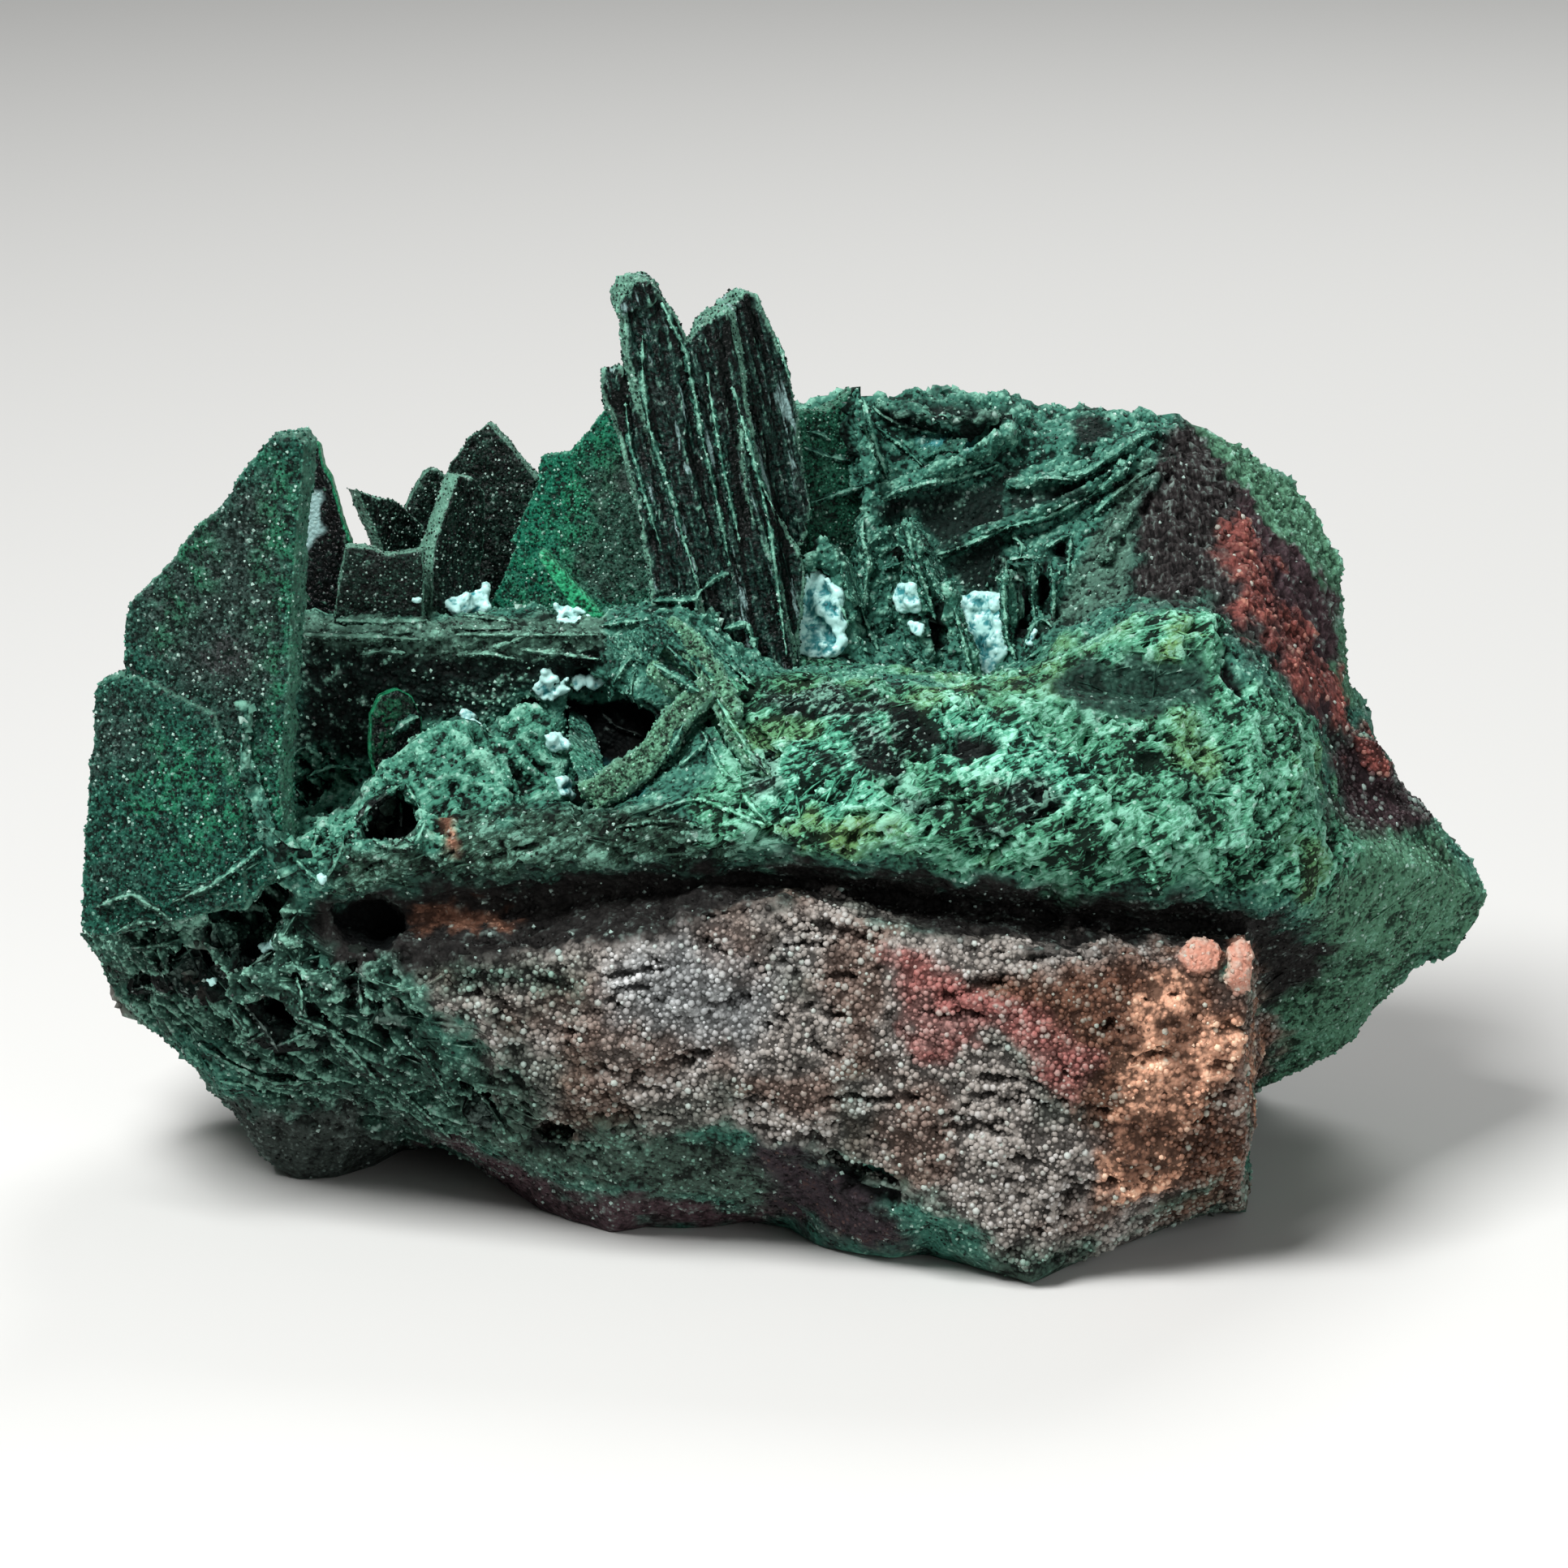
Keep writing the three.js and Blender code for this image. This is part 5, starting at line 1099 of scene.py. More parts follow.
def rock_material(colours):
    """Hollow, middle and ridge colours of the zones, broken up by grain and fibres."""
    material, graph, shader = new_material("rock surface")
    at = object_millimetres(graph)
    grain = graph.cells(at, 2.3)
    grain_number = graph.cell_numbers(at, 2.3)
    mottle = graph.noise(at, 0.8, detail=6, roughness=0.68)
    patches = graph.noise(at, 0.25, detail=3, roughness=0.6)
    leaning = graph.stretched(at, (2.4, 1.0, 0.6), 28)
    thread = graph.noise(leaning, 1.5, detail=5, roughness=0.65, distortion=0.8)
    fibrous = attribute(graph, "fibrous", "Fac")
    under_grains = attribute(graph, "face_grains", "Fac")
    sharp = attribute(graph, "sharp", "Fac")
    upright = graph.noise(graph.stretched(at, (0.3, 0.6, 5), 8), 1.0, detail=4, roughness=0.6)
    streaks = (thread - 0.5) * fibrous * 4 + (upright - 0.5) * attribute(graph, "upright", "Fac") * 2.6
    # sharp darkens the pits as painted shade and pales the ridges, partly as painted highlight; mottle,
    # grain, threads and patches are the rock's own colour.
    tone = sharp * 0.6 + (mottle - 0.5) * 1.8 + streaks + (0.45 - grain) * 0.6
    tone = tone + (patches - 0.5) * (fibrous * 2 + 1.2)
    # Darker under the rounded grains of the lower face: painted shade in the gaps between the grains.
    tone = tone + 0.42 - under_grains * 0.3
    coat = zone_coat(graph, tone)
    glint = grain_number.rising(0.92, 0.99) * tone.rising(0.4, 0.9)
    connect(graph, graph.blend(glint * 0.45, coat, (*colours.sparkle, 1)), shader, "Base Color")
    connect(graph, 0.75 - glint * 0.4, shader, "Roughness")
    height = (0.5 - grain) * (1 - fibrous * 0.7) + mottle * 0.8 + thread * fibrous * 2
    connect(graph, bumped(graph, height, 0.22), shader, "Normal")
    shader.inputs["Specular IOR Level"].default_value = 0.12
    return material


def crystal_tones(graph, tone, colour, colours):
    """Near black to pale through the crystal's colour, with a brown bloom and bright green patches."""
    at = object_millimetres(graph)
    patches = graph.noise(at, 0.22, detail=4, roughness=0.6)
    bloom = attribute(graph, "bloom", "Fac") * 0.55 + patches.rising(0.54, 0.66) * 0.25
    lively = attribute(graph, "lively", "Fac") * graph.noise(at, 0.7, detail=3).rising(0.4, 0.6) * 0.45
    green = np.array(colour)
    brown = np.array(colours.brown) * min(1, 1.5 * max(green) / max(colours.brown))
    pale = green * 1.6 + np.array(colours.pale) * 0.22
    middle = graph.blend(bloom, (*green, 1), (*brown, 1))
    middle = graph.blend(lively, middle, (*(np.array(colours.lath) * 0.75), 1))
    ridge = graph.blend(bloom * 0.6, (*pale, 1), (*(brown * 2.8), 1))
    body = graph.blend(tone.rising(0, 0.55), (*(green * 0.08), 1), middle)
    return graph.blend(tone.rising(0.55, 1.15), body, ridge)


def spire_tone(graph, at):
    """Fine lines along the spires, and dark gaps painted as the shade between their blades."""
    fine = graph.stretched(at, (0.35, 0.5, 7), SPIRE_LEAN)
    wide = graph.stretched(at, (1.1, 1.2, 14), SPIRE_LEAN)
    lines = swing(graph.noise(fine, 1.0, detail=3, roughness=0.6)) * 0.55
    return lines - graph.noise(wide, 1.0, detail=2).rising(0.45, 0.38) * 0.9


def spire_streaks(graph, at):
    """Where pale crust runs along the spires."""
    along = graph.stretched(at, (0.8, 1, 5), SPIRE_LEAN)
    return graph.noise(along, 0.7, detail=4, roughness=0.6).rising(0.6, 0.66) * 0.8


def crystal_material(name, colour, colours, edge_strength, shine, spires):
    """A tabular crystal: velvety faces, pale mint thin edges and rims, crust streaks on spires."""
    material, graph, shader = new_material(name)
    at = object_millimetres(graph)
    grain = graph.cells(at, 3.2)
    grain_number = graph.cell_numbers(at, 3.2)
    mottle = graph.noise(at, 1.3, detail=4, roughness=0.6)
    sharp = attribute(graph, "sharp", "Fac")
    edge = attribute(graph, "thin_edge", "Fac")
    fine_mottle = graph.noise(at, 3.4, detail=3, roughness=0.6)
    # sharp darkens the pits as painted shade and pales the ridges, partly as painted highlight.
    tone = (mottle - 0.5) * 1.8 + (fine_mottle - 0.5) * 1.8 + (0.45 - grain) * 0.5 + 0.36 + sharp * 0.5
    if spires:
        tone = tone + spire_tone(graph, at)
    body = crystal_tones(graph, tone, colour, colours)
    rim = edge * 0.9 + sharp.rising(0.25, 0.9) * 0.8 + (mottle - 0.5) * 1.6 - 0.2
    rim_colour = colours.lath if shine < 0.3 else colours.mint
    body = graph.blend((rim * edge_strength).clamped(), body, (*rim_colour, 1))
    streaked = spire_streaks(graph, at) if spires else attribute(graph, "streaked", "Fac")
    body = graph.blend(streaked, body, (*colours.streak, 1))
    glint = grain_number.rising(0.93, 0.99) * tone.rising(0.3, 0.8)
    body = graph.blend(glint * 0.4, body, (*colours.sparkle, 1))
    connect(graph, body, shader, "Base Color")
    connect(graph, shine - glint * 0.25, shader, "Roughness")
    connect(graph, bumped(graph, (0.5 - grain) + mottle * 0.6 + fine_mottle, 0.12), shader, "Normal")
    shader.inputs["Specular IOR Level"].default_value = 0.12
    return material


def crust_material(colours):
    """Botryoidal crust: cyan-white on the tops, and teal deepening to near black in the creases as painted
    shade.
    """
    material, graph, shader = new_material("pale crust")
    at = object_millimetres(graph)
    sharp = attribute(graph, "sharp", "Fac")
    mottle = graph.noise(at, 0.7, detail=4, roughness=0.6)
    tone = sharp * 0.8 + (mottle - 0.5) * 1.7 + 0.58
    # Near-black teal in the creases: painted shade.
    crease = np.array(colours.teal) * 0.25
    body = graph.blend(tone.rising(-0.1, 0.35), (*crease, 1), (*colours.teal, 1))
    body = graph.blend(tone.rising(0.3, 0.75), body, (*colours.crust, 1))
    connect(graph, body, shader, "Base Color")
    shader.inputs["Roughness"].default_value = 0.32
    shader.inputs["Specular IOR Level"].default_value = 0.4
    return material


# Crystals

# Colour, strength of the pale edges and roughness of each crystal
CRYSTAL_LOOKS = {
    "left_plate": ("plate", 0.5, 0.5),
    "left_back_plate": ("gloss", 1.0, 0.22),
    "gable_plate": ("back_plate", 1.0, 0.35),
    "block_plate": ("back_plate", 0.9, 0.5),
    "edge_plate": ("back_plate", 1.0, 0.35),
    "pointed_plate": ("back_plate", 0.9, 0.45),
    "back_blade": ("back_plate", 0.7, 0.5),
    "velvet_plate": ("velvet", 0.5, 0.6),
    "green_lath": ("lath", 0.3, 0.5),
    "fan_plate": ("fan", 0.5, 0.5),
    "dark_flake": ("gloss", 1.0, 0.2),
    "crossed_blades": ("tip", 0.9, 0.5),
    "spire_cluster": ("spire", 0.9, 0.4),
}
SPIRE_LEAN = 13
# Crystals without druse
SMOOTH_CRYSTALS = ["left_back_plate", "dark_flake", "green_lath"]
# How uneven a crystal's faces are, where that is not the usual
UNEVENNESS = {
    "left_back_plate": 0.3,
    "dark_flake": 0.5,
    "green_lath": 0.4,
    "left_plate": 1.8,
    "crossed_blades": 2.6,
}
# Where brown bloom, bright green and pale crust lie on the crystals, in the picture plane
BLOOMS = {
    "left_plate": [
        [(-46, 20.4), (-38.5, 24), (-38.2, 6.6), (-42.2, 4.1), (-47.9, 8.5), (-50.4, 12.9)],
        [(-53.5, 5.5), (-50.4, 6.2), (-48.8, 2.2), (-53, 1.2)],
    ],
    "velvet_plate": [
        [(-14.4, 25.4), (-9, 25.4), (-8.5, 14.1), (-16.6, 14.1), (-17.2, 17.2), (-15.4, 20.4)],
    ],
}
CRYSTAL_GREENS = {
    "left_plate": [
        [(-40.2, 26.3), (-37.1, 22.9), (-37.1, -3.4), (-39.4, -3.4), (-40.1, 10.4)],
        [(-48.5, 4.1), (-39.8, 2.2), (-39.8, -2.8), (-45.4, -5.9), (-50.4, -2.1)],
        [(-47.2, 20.4), (-44.1, 22.9), (-44.1, 15.4), (-47.9, 10.4)],
    ],
    "dark_flake": [
        [(-31.9, 7.6), (-30.2, 8.2), (-29.3, 7.2), (-29.6, 5.2), (-30.6, 3.6), (-31.9, 2.4)],
    ],
    "velvet_plate": [[(-21, 16.6), (-14.4, 27.6), (-12.2, 27.9), (-16.3, 15.4), (-20.4, 12.2)]],
}
CRYSTAL_CRUSTS = {
    "left_back_plate": [
        [(-37.2, 22.2), (-36.2, 22), (-35.8, 19), (-36.8, 17.9), (-37.6, 18.2)],
    ],
}


def mark_thin_edges(mesh):
    """Stores 1 on the narrow sides of a tabular crystal and 0 on its broad faces."""
    normals = np.array([face.normal for face in mesh.polygons])
    areas = np.array([face.area for face in mesh.polygons])
    spread = (normals * areas[:, None]).T @ normals
    broad = np.linalg.eigh(spread)[1][:, -1]
    flatness = np.abs(vertex_normals(mesh) @ broad)
    thin = 1 - smooth(flatness, 0.5, 0.85)
    store_numbers(mesh, "thin_edge", thin)
    store_numbers(mesh, "broad_face", 1 - 0.4 * thin)


def mark_patches(mesh, name):
    """Stores where the crystal's bloom, bright green and crust lie."""
    points = read_points(mesh)
    places = picture_places(points) + 1.6 * (lattice_noise(points, 1.2 * MM, 9)[:, None] - 0.5)
    for kind, patches, soft in (
        ("bloom", BLOOMS, 2.5), ("lively", CRYSTAL_GREENS, 1.5), ("streaked", CRYSTAL_CRUSTS, 0.2),
    ):
        shares = [inside(places, outline, soft) for outline in patches.get(name, [])]
        store_numbers(mesh, kind, np.max([np.zeros(len(points)), *shares], axis=0))


def relief_of_crystal(piece, unevenness, striation):
    """Worn edges and velvety faces, and grooves along the length of the spires."""
    graph, mesh = geometry_group(f"{piece.name} relief")
    at = millimetres(graph)
    coarse = swing(graph.noise(at, 0.7, detail=3))
    fine = swing(graph.noise(at, 2.0, detail=2))
    worn = swing(graph.noise(at, 0.3, detail=3))
    height = (coarse * 0.8 + fine * 0.6 + worn) * (unevenness / MM)
    if striation:
        along = graph.stretched(at, (0.55, 0.8, 9), SPIRE_LEAN)
        grooves = swing(graph.noise(along, 1.0, detail=3, roughness=0.6))
        height = height + grooves * (striation / MM)
        wide = graph.stretched(at, (1.8, 1.4, 16), SPIRE_LEAN)
        height = height + swing(graph.noise(wide, 1.0, detail=1)) * (striation / MM)
    moved = shift_along_normal(graph, mesh, height)
    apply_group(piece, graph, with_sharpness(graph, moved, 4, 0.22))


def make_crystal(name, sizes, colours):
    look, edge_strength, shine = CRYSTAL_LOOKS[name]
    crystal = copy_of_node(name, f"{name}_crystal")
    apply_modifier(crystal, "REMESH", mode="VOXEL", voxel_size=sizes.crystal_mesh)
    mark_thin_edges(crystal.data)
    mark_patches(crystal.data, name)
    spires = name == "spire_cluster"
    unevenness = sizes.velvet * UNEVENNESS.get(name, 1)
    relief_of_crystal(crystal, unevenness, sizes.striation if spires else 0)
    keep_on_base(crystal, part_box(name))
    colour = getattr(colours, look)
    material = crystal_material(name, colour, colours, edge_strength, shine, spires)
    crystal.data.materials.append(material)
    crystal.data.shade_smooth()
    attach(crystal, "root")
    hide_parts(name)
    return crystal


# Druse


def loose_piece(name, mesh):
    piece = bpy.data.objects.new(name, mesh)
    bpy.context.scene.collection.objects.link(piece)
    return piece


def random_number(graph, least, most, seed):
    values = {2: least, 3: most, "Seed": seed}
    return graph.node("FunctionNodeRandomValue", {"data_type": "FLOAT"}, values, 1)


def random_turn(graph, tilt, seed):
    """A turn by any angle about the upright axis, and by up to tilt about the other two."""
    most = (tilt, tilt, math.pi)
    least = tuple(-angle for angle in most)
    values = {0: least, 1: most, "Seed": seed}
    return graph.node("FunctionNodeRandomValue", {"data_type": "FLOAT_VECTOR"}, values)


def grain_shape(graph, grain):
    if grain["rounded"]:
        values = {"Radius": grain["radius"], "Subdivisions": 1}
        return graph.node("GeometryNodeMeshIcoSphere", {}, values)
    values = {"Radius": grain["radius"], "Segments": 4, "Rings": 2}
    return graph.node("GeometryNodeMeshUVSphere", {}, values)


def without_buried(graph, points, rock, clear):
    """The points, without those that are nearer to the rock's surface than clear."""
    settings = {"target_element": "FACES"}
    values = {0: mesh_of(graph, rock)}
    near = graph.node("GeometryNodeProximity", settings, values, "Distance")
    values = {0: points, "Selection": near.maths("LESS_THAN", clear)}
    return graph.node("GeometryNodeDeleteGeometry", {"domain": "POINT"}, values)


def scatter(name, host, grain, where=None, clear_of=None):
    """A joined mesh of small grains that stand on the host, each with a number of its own."""
    graph, mesh = geometry_group(f"{name} scatter")
    density = 2.5 / grain["gap"] ** 2
    values = {"Mesh": mesh, "Distance Min": grain["gap"], "Density Max": density}
    values["Seed"] = grain["seed"]
    if where:
        values["Density Factor"] = named(graph, where)
    settings = {"distribute_method": "POISSON"}
    spread = graph.add("GeometryNodeDistributePointsOnFaces", settings, values)
    points = Wire(graph, spread.outputs["Points"])
    if clear_of:
        points = without_buried(graph, points, clear_of, grain["clear"])
    size = random_number(graph, 0.4, 1.4, 11)
    tall = graph.node("ShaderNodeCombineXYZ", {}, {0: size, 1: size, 2: size * grain["tall"]})
    values = {"Points": points, "Instance": grain_shape(graph, grain), "Scale": tall}
    values["Rotation"] = Wire(graph, spread.outputs["Rotation"])
    grains = graph.node("GeometryNodeInstanceOnPoints", {}, values)
    values = {0: grains, "Rotation": random_turn(graph, grain["tilt"], 12)}
    grains = graph.node("GeometryNodeRotateInstances", {}, values)
    number = random_number(graph, 0.0, 1.0, 13)
    grains = stored(graph, grains, "grain", number, domain="INSTANCE")
    real = graph.node("GeometryNodeRealizeInstances", {}, {0: grains})
    piece = loose_piece(name, host.data.copy())
    apply_group(piece, graph, real)
    piece.data.materials.clear()
    if grain["rounded"]:
        piece.data.shade_smooth()
    else:
        piece.data.shade_flat()
    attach(piece, "root")
    return piece


# Thin blades, straps and strands that lie on the rock


def specimen_tree():
    """The rock and its crystals as the eye meets them, for laying thin pieces on."""
    solid = bmesh.new()
    for name in ["rock", *(f"{name}_crystal" for name in CRYSTAL_LOOKS)]:
        solid.from_mesh(bpy.data.objects[name].data)
    tree = BVHTree.FromBMesh(solid)
    solid.free()
    return tree


def spread_line(line, step):
    """Points about step mm apart along a rounded line of the picture plane."""
    line = np.array(line, float)
    lengths = np.concatenate([[0], np.cumsum(np.linalg.norm(np.diff(line, axis=0), axis=1))])
    count = max(4, round(lengths[-1] / step))
    along = np.linspace(0, lengths[-1], count)
    spots = np.stack([np.interp(along, lengths, line[:, axis]) for axis in (0, 1)], 1)
    for _ in range(3):
        spots[1:-1] = (spots[:-2] + 2 * spots[1:-1] + spots[2:]) / 4
    return spots


def depths_of(tree, spots):
    """Distance from the eye to the rock at spots of the picture plane. It is nan beside the rock."""
    return np.array([tree.ray_cast(EYE, toward(*spot))[3] or np.nan for spot in spots])


def unbroken_run(depths, step=1.3 * MM):
    """The longest stretch of the depths that has no jump in it."""
    jumps = np.flatnonzero(~(np.abs(np.diff(depths)) < step)) + 1
    ends = [0, *jumps.tolist(), len(depths)]
    first, last = max(zip(ends[:-1], ends[1:]), key=lambda run: run[1] - run[0])
    return slice(first, last)


def without_gaps(depths):
    """The depths, with those beside the rock taken from their neighbours."""
    known = np.flatnonzero(~np.isnan(depths))
    return np.interp(np.arange(len(depths)), known, depths[known])


def lies_well(tree, line):
    """True where a line stays on the rock and jumps over no edge of it."""
    depths = depths_of(tree, spread_line(line, 0.6))
    return bool(np.all(np.abs(np.diff(depths)) < 1.2 * MM))


# Widths of the mesh cells of the blades and the crust in mm, and how pale the blades are
BLADE_MESH = 0.16
CRUST_MESH = 0.15
BLADE_PALENESS = 0.15
# Profiles of straps and fibres: sideways, away from the eye, and paleness of each corner
# Corners toward the rock are darkened as painted shade where the strap meets it; the ridge is paled, partly
# as painted highlight and partly as the thin plates' pale edges.
STRAP_PROFILE = [
    (-1, 0.9, -0.6), (-0.6, 0, -0.1), (-0.15, -0.85, 1), (0.2, -0.75, 1), (0.6, 0.1, -0.1),
    (1, 0.9, -0.6), (0.4, 1.4, -1), (-0.4, 1.4, -1),
]
FIBRE_PROFILE = [(-0.9, 0.6, -0.3), (-0.1, -0.7, 1), (0.9, 0.5, -0.1), (0, 1.2, -1)]


def add_strap(shell, tree, line, width, lift, paleness, number, step=0.28, profile=STRAP_PROFILE):
    """A narrow ridged strap that follows the rock along a line and tapers at its ends."""
    spots = spread_line(line, step)
    depths = depths_of(tree, spots)
    kept = unbroken_run(depths)
    spots, depths = spots[kept], depths[kept]
    if len(spots) < 4 or np.isnan(depths).any():
        return
    for _ in range(3):
        nearer = np.minimum(depths[1:-1], (depths[:-2] + depths[2:]) / 2)
        depths[1:-1] = nearer * 0.5 + depths[1:-1] * 0.5
        depths[1:-1] = (depths[:-2] + 2 * depths[1:-1] + depths[2:]) / 4
    rings = []
    for index, (spot, depth) in enumerate(zip(spots, depths)):
        ahead = toward(*spot)
        middle = EYE + ahead * (depth - lift * MM)
        along = Vector((*(spots[min(index + 1, len(spots) - 1)] - spots[max(index - 1, 0)]), 0))
        side = (VIEW_RIGHT * -along.y + VIEW_UP * along.x).normalized()
        share = index / (len(spots) - 1)
        uneven = 1 + 0.3 * math.sin(9 * share + 40 * number) * math.sin(23 * share + 7 * number)
        wide = width / 2 * MM * uneven * (0.2 + 0.8 * min(1, 5 * share, 5 * (1 - share)))
        ring = []
        for sideways, deep, corner_paleness in profile:
            place = middle + side * sideways * wide + ahead * deep * wide * 1.3
            ring.append(shell.new_point(place, corner_paleness * (0.4 + 0.6 * paleness)))
        rings.append(ring)
    shell.loft(rings)


def add_blade(shell, tree, outline, thickness, lift):
    """A flat blade with the outline, standing before the rock in the plane that fits it best."""
    spots = np.array(outline, float)
    fit = np.concatenate([np.ones((len(spots), 1)), spots], 1)
    plane = np.linalg.lstsq(fit, without_gaps(depths_of(tree, spots)), rcond=None)[0]
    front, back = [], []
    for spot, depth in zip(spots, fit @ plane):
        ahead = toward(*spot)
        behind = depth + (thickness - lift) * MM
        front.append(shell.new_point(EYE + ahead * (depth - lift * MM), BLADE_PALENESS))
        back.append(shell.new_point(EYE + ahead * behind, BLADE_PALENESS))
    shell.loft([front, back])


class Shell:
    """A growing mesh of closed pieces, with a paleness for every point."""

    def __init__(self):
        self.mesh = bmesh.new()
        self.paleness = []

    def new_point(self, place, paleness):
        self.paleness.append(paleness)
        return self.mesh.verts.new(place)

    def loft(self, rings):
        """Faces between rings of points, and one face over each end."""
        for first, second in zip(rings[:-1], rings[1:]):
            for index in range(len(first)):
                after = (index + 1) % len(first)
                self.mesh.faces.new((first[index], first[after], second[after], second[index]))
        self.mesh.faces.new(rings[0][::-1])
        self.mesh.faces.new(rings[-1])

    def finished(self, name):
        bmesh.ops.recalc_face_normals(self.mesh, faces=self.mesh.faces[:])
        mesh = bpy.data.meshes.new(name)
        self.mesh.to_mesh(mesh)
        self.mesh.free()
        store_numbers(mesh, "paleness", np.array(self.paleness))
        return loose_piece(name, mesh)


def take_rock_tones(piece, unevenness):
    """Gives a thin piece the colours of the rock nearest to it, and an uneven surface."""
    graph, mesh = geometry_group(f"{piece.name} tones")
    at = millimetres(graph)
    rough = swing(graph.noise(at, 1.6, detail=3)) * unevenness
    result = shift_along_normal(graph, mesh, rough)
    rock = mesh_of(graph, bpy.data.objects["rock"])
    settings = {"data_type": "FLOAT_COLOR"}
    for name in TONES:
        tone = graph.node("GeometryNodeInputNamedAttribute", settings, {"Name": name})
        values = {"Mesh": rock, "Value": tone}
        nearest = graph.node("GeometryNodeSampleNearestSurface", settings, values)
        result = stored(graph, result, name, nearest, kind="FLOAT_COLOR")
    result = stored(graph, result, "sharp", named(graph, "paleness") + rough)
    apply_group(piece, graph, result)


def make_straps(name, straps, tree):
    shell = Shell()
    for index, (width, lift, paleness, line) in enumerate(straps):
        add_strap(shell, tree, line, width, lift, paleness, index / len(straps))
    piece = shell.finished(name)
    take_rock_tones(piece, 0.2)
    return piece


def make_blades(name, blades, tree):
    shell = Shell()
    for thickness, lift, outline in blades:
        add_blade(shell, tree, outline, thickness, lift)
    piece = shell.finished(name)
    apply_modifier(piece, "TRIANGULATE")
    apply_modifier(piece, "REMESH", mode="VOXEL", voxel_size=BLADE_MESH * MM)
    store_numbers(piece.data, "paleness", np.full(len(piece.data.vertices), BLADE_PALENESS))
    take_rock_tones(piece, 0.08)
    return piece


def random_lines(rng, outline, count, angle, spread, lengths):
    """Short wandering lines that start within an outline, at about angle degrees."""
    corners = np.array(outline)
    lines = []
    while len(lines) < count:
        start = rng.uniform(corners.min(0), corners.max(0))
        if inside(start[None], outline, 0.1)[0] < 0.5:
            continue
        heading = math.radians(angle + rng.normal(0, spread))
        bend = rng.normal(0, 0.07)
        line = [start]
        for _ in range(5):
            heading += bend
            step = rng.uniform(*lengths) / 5
            line.append(line[-1] + step * np.array([math.cos(heading), math.sin(heading)]))
        lines.append(line)
    return lines


def make_strands(name, seed, fields, tree):
    """Fine fibres strewn over fields of the rock."""
    rng = np.random.default_rng(seed)
    shell = Shell()
    for outline, count, angle, spread, lengths, widths in fields:
        for line in random_lines(rng, outline, count, angle, spread, lengths):
            width = rng.uniform(*widths)
            if not lies_well(tree, line):
                continue
            lift = rng.uniform(-0.15, 0.05)
            paleness = rng.uniform(-0.4, 0.7)
            number = rng.uniform()
            add_strap(shell, tree, line, width, lift, paleness, number, 0.6, FIBRE_PROFILE)
    piece = shell.finished(name)
    take_rock_tones(piece, 0.06)
    return piece


def make_crust(clusters, seed):
    """Small clusters of rounded lumps on the rock."""
    rng = np.random.default_rng(seed)
    tree = specimen_tree()
    lumps = bmesh.new()
    for count, radius, lift, outline in clusters:
        corners = np.array(outline)
        spots = rng.uniform(corners.min(0), corners.max(0), (12 * count, 2))
        spots = spots[inside(spots, outline, 0.05) > 0.5]
        depths = depths_of(tree, spots)
        usual = np.nanmedian(depths)
        depths = np.clip(depths, usual - 0.6 * MM, usual + 0.5 * MM)
        for spot, depth in zip(spots, depths):
            size = radius * MM * rng.uniform(0.3, 0.8)
            place = EYE + toward(*spot) * (depth - lift * MM + size * rng.uniform(-0.5, 0.8))
            made = bmesh.ops.create_icosphere(lumps, subdivisions=1, radius=size)
            bmesh.ops.translate(lumps, verts=made["verts"], vec=place)
    mesh = bpy.data.meshes.new("pale_crust")
    lumps.to_mesh(mesh)
    lumps.free()
    piece = loose_piece("pale_crust", mesh)
    apply_modifier(piece, "REMESH", mode="VOXEL", voxel_size=CRUST_MESH * MM)
    apply_modifier(piece, "SMOOTH", factor=0.5, iterations=8)
    graph, start = geometry_group("crust relief")
    wavy = swing(graph.noise(millimetres(graph), 1.1, detail=4, roughness=0.65)) * 0.2
    moved = shift_along_normal(graph, start, wavy)
    apply_group(piece, graph, with_sharpness(graph, moved, 5, 0.2))
    return piece


STRAPS = {
    "wall": WALL_STRAPS, "centre": CENTRE_STRAPS, "hollow": HOLLOW_STRAPS, "network": NETWORK_STRAPS,
    "spire": SPIRE_STRAPS,
}
BLADES = {"wall": WALL_BLADES, "centre": CENTRE_BLADES, "hollow": HOLLOW_BLADES}
# Fields of fibres: outline, count, angle and its spread in degrees, lengths and widths in mm
MASS_FIBRES = [
    (MASS, 240, 30, 24, (1.2, 4), (0.15, 0.3)),
    (MASS_GLOW, 60, 20, 50, (1, 3), (0.15, 0.28)),
    (CREST_GLOW, 40, 10, 25, (1.5, 3.5), (0.15, 0.3)),
    (TIP, 80, 35, 25, (1.5, 4), (0.18, 0.34)),
    (LIP, 50, 8, 20, (1.5, 4), (0.18, 0.34)),
]
NETWORK_FIBRES = [
    (NETWORK, 170, -42, 26, (1.5, 5), (0.18, 0.4)),
    (NETWORK, 70, 30, 25, (1.5, 4), (0.18, 0.36)),
    (LOW_FRINGE, 40, -50, 20, (1.5, 4), (0.18, 0.36)),
]


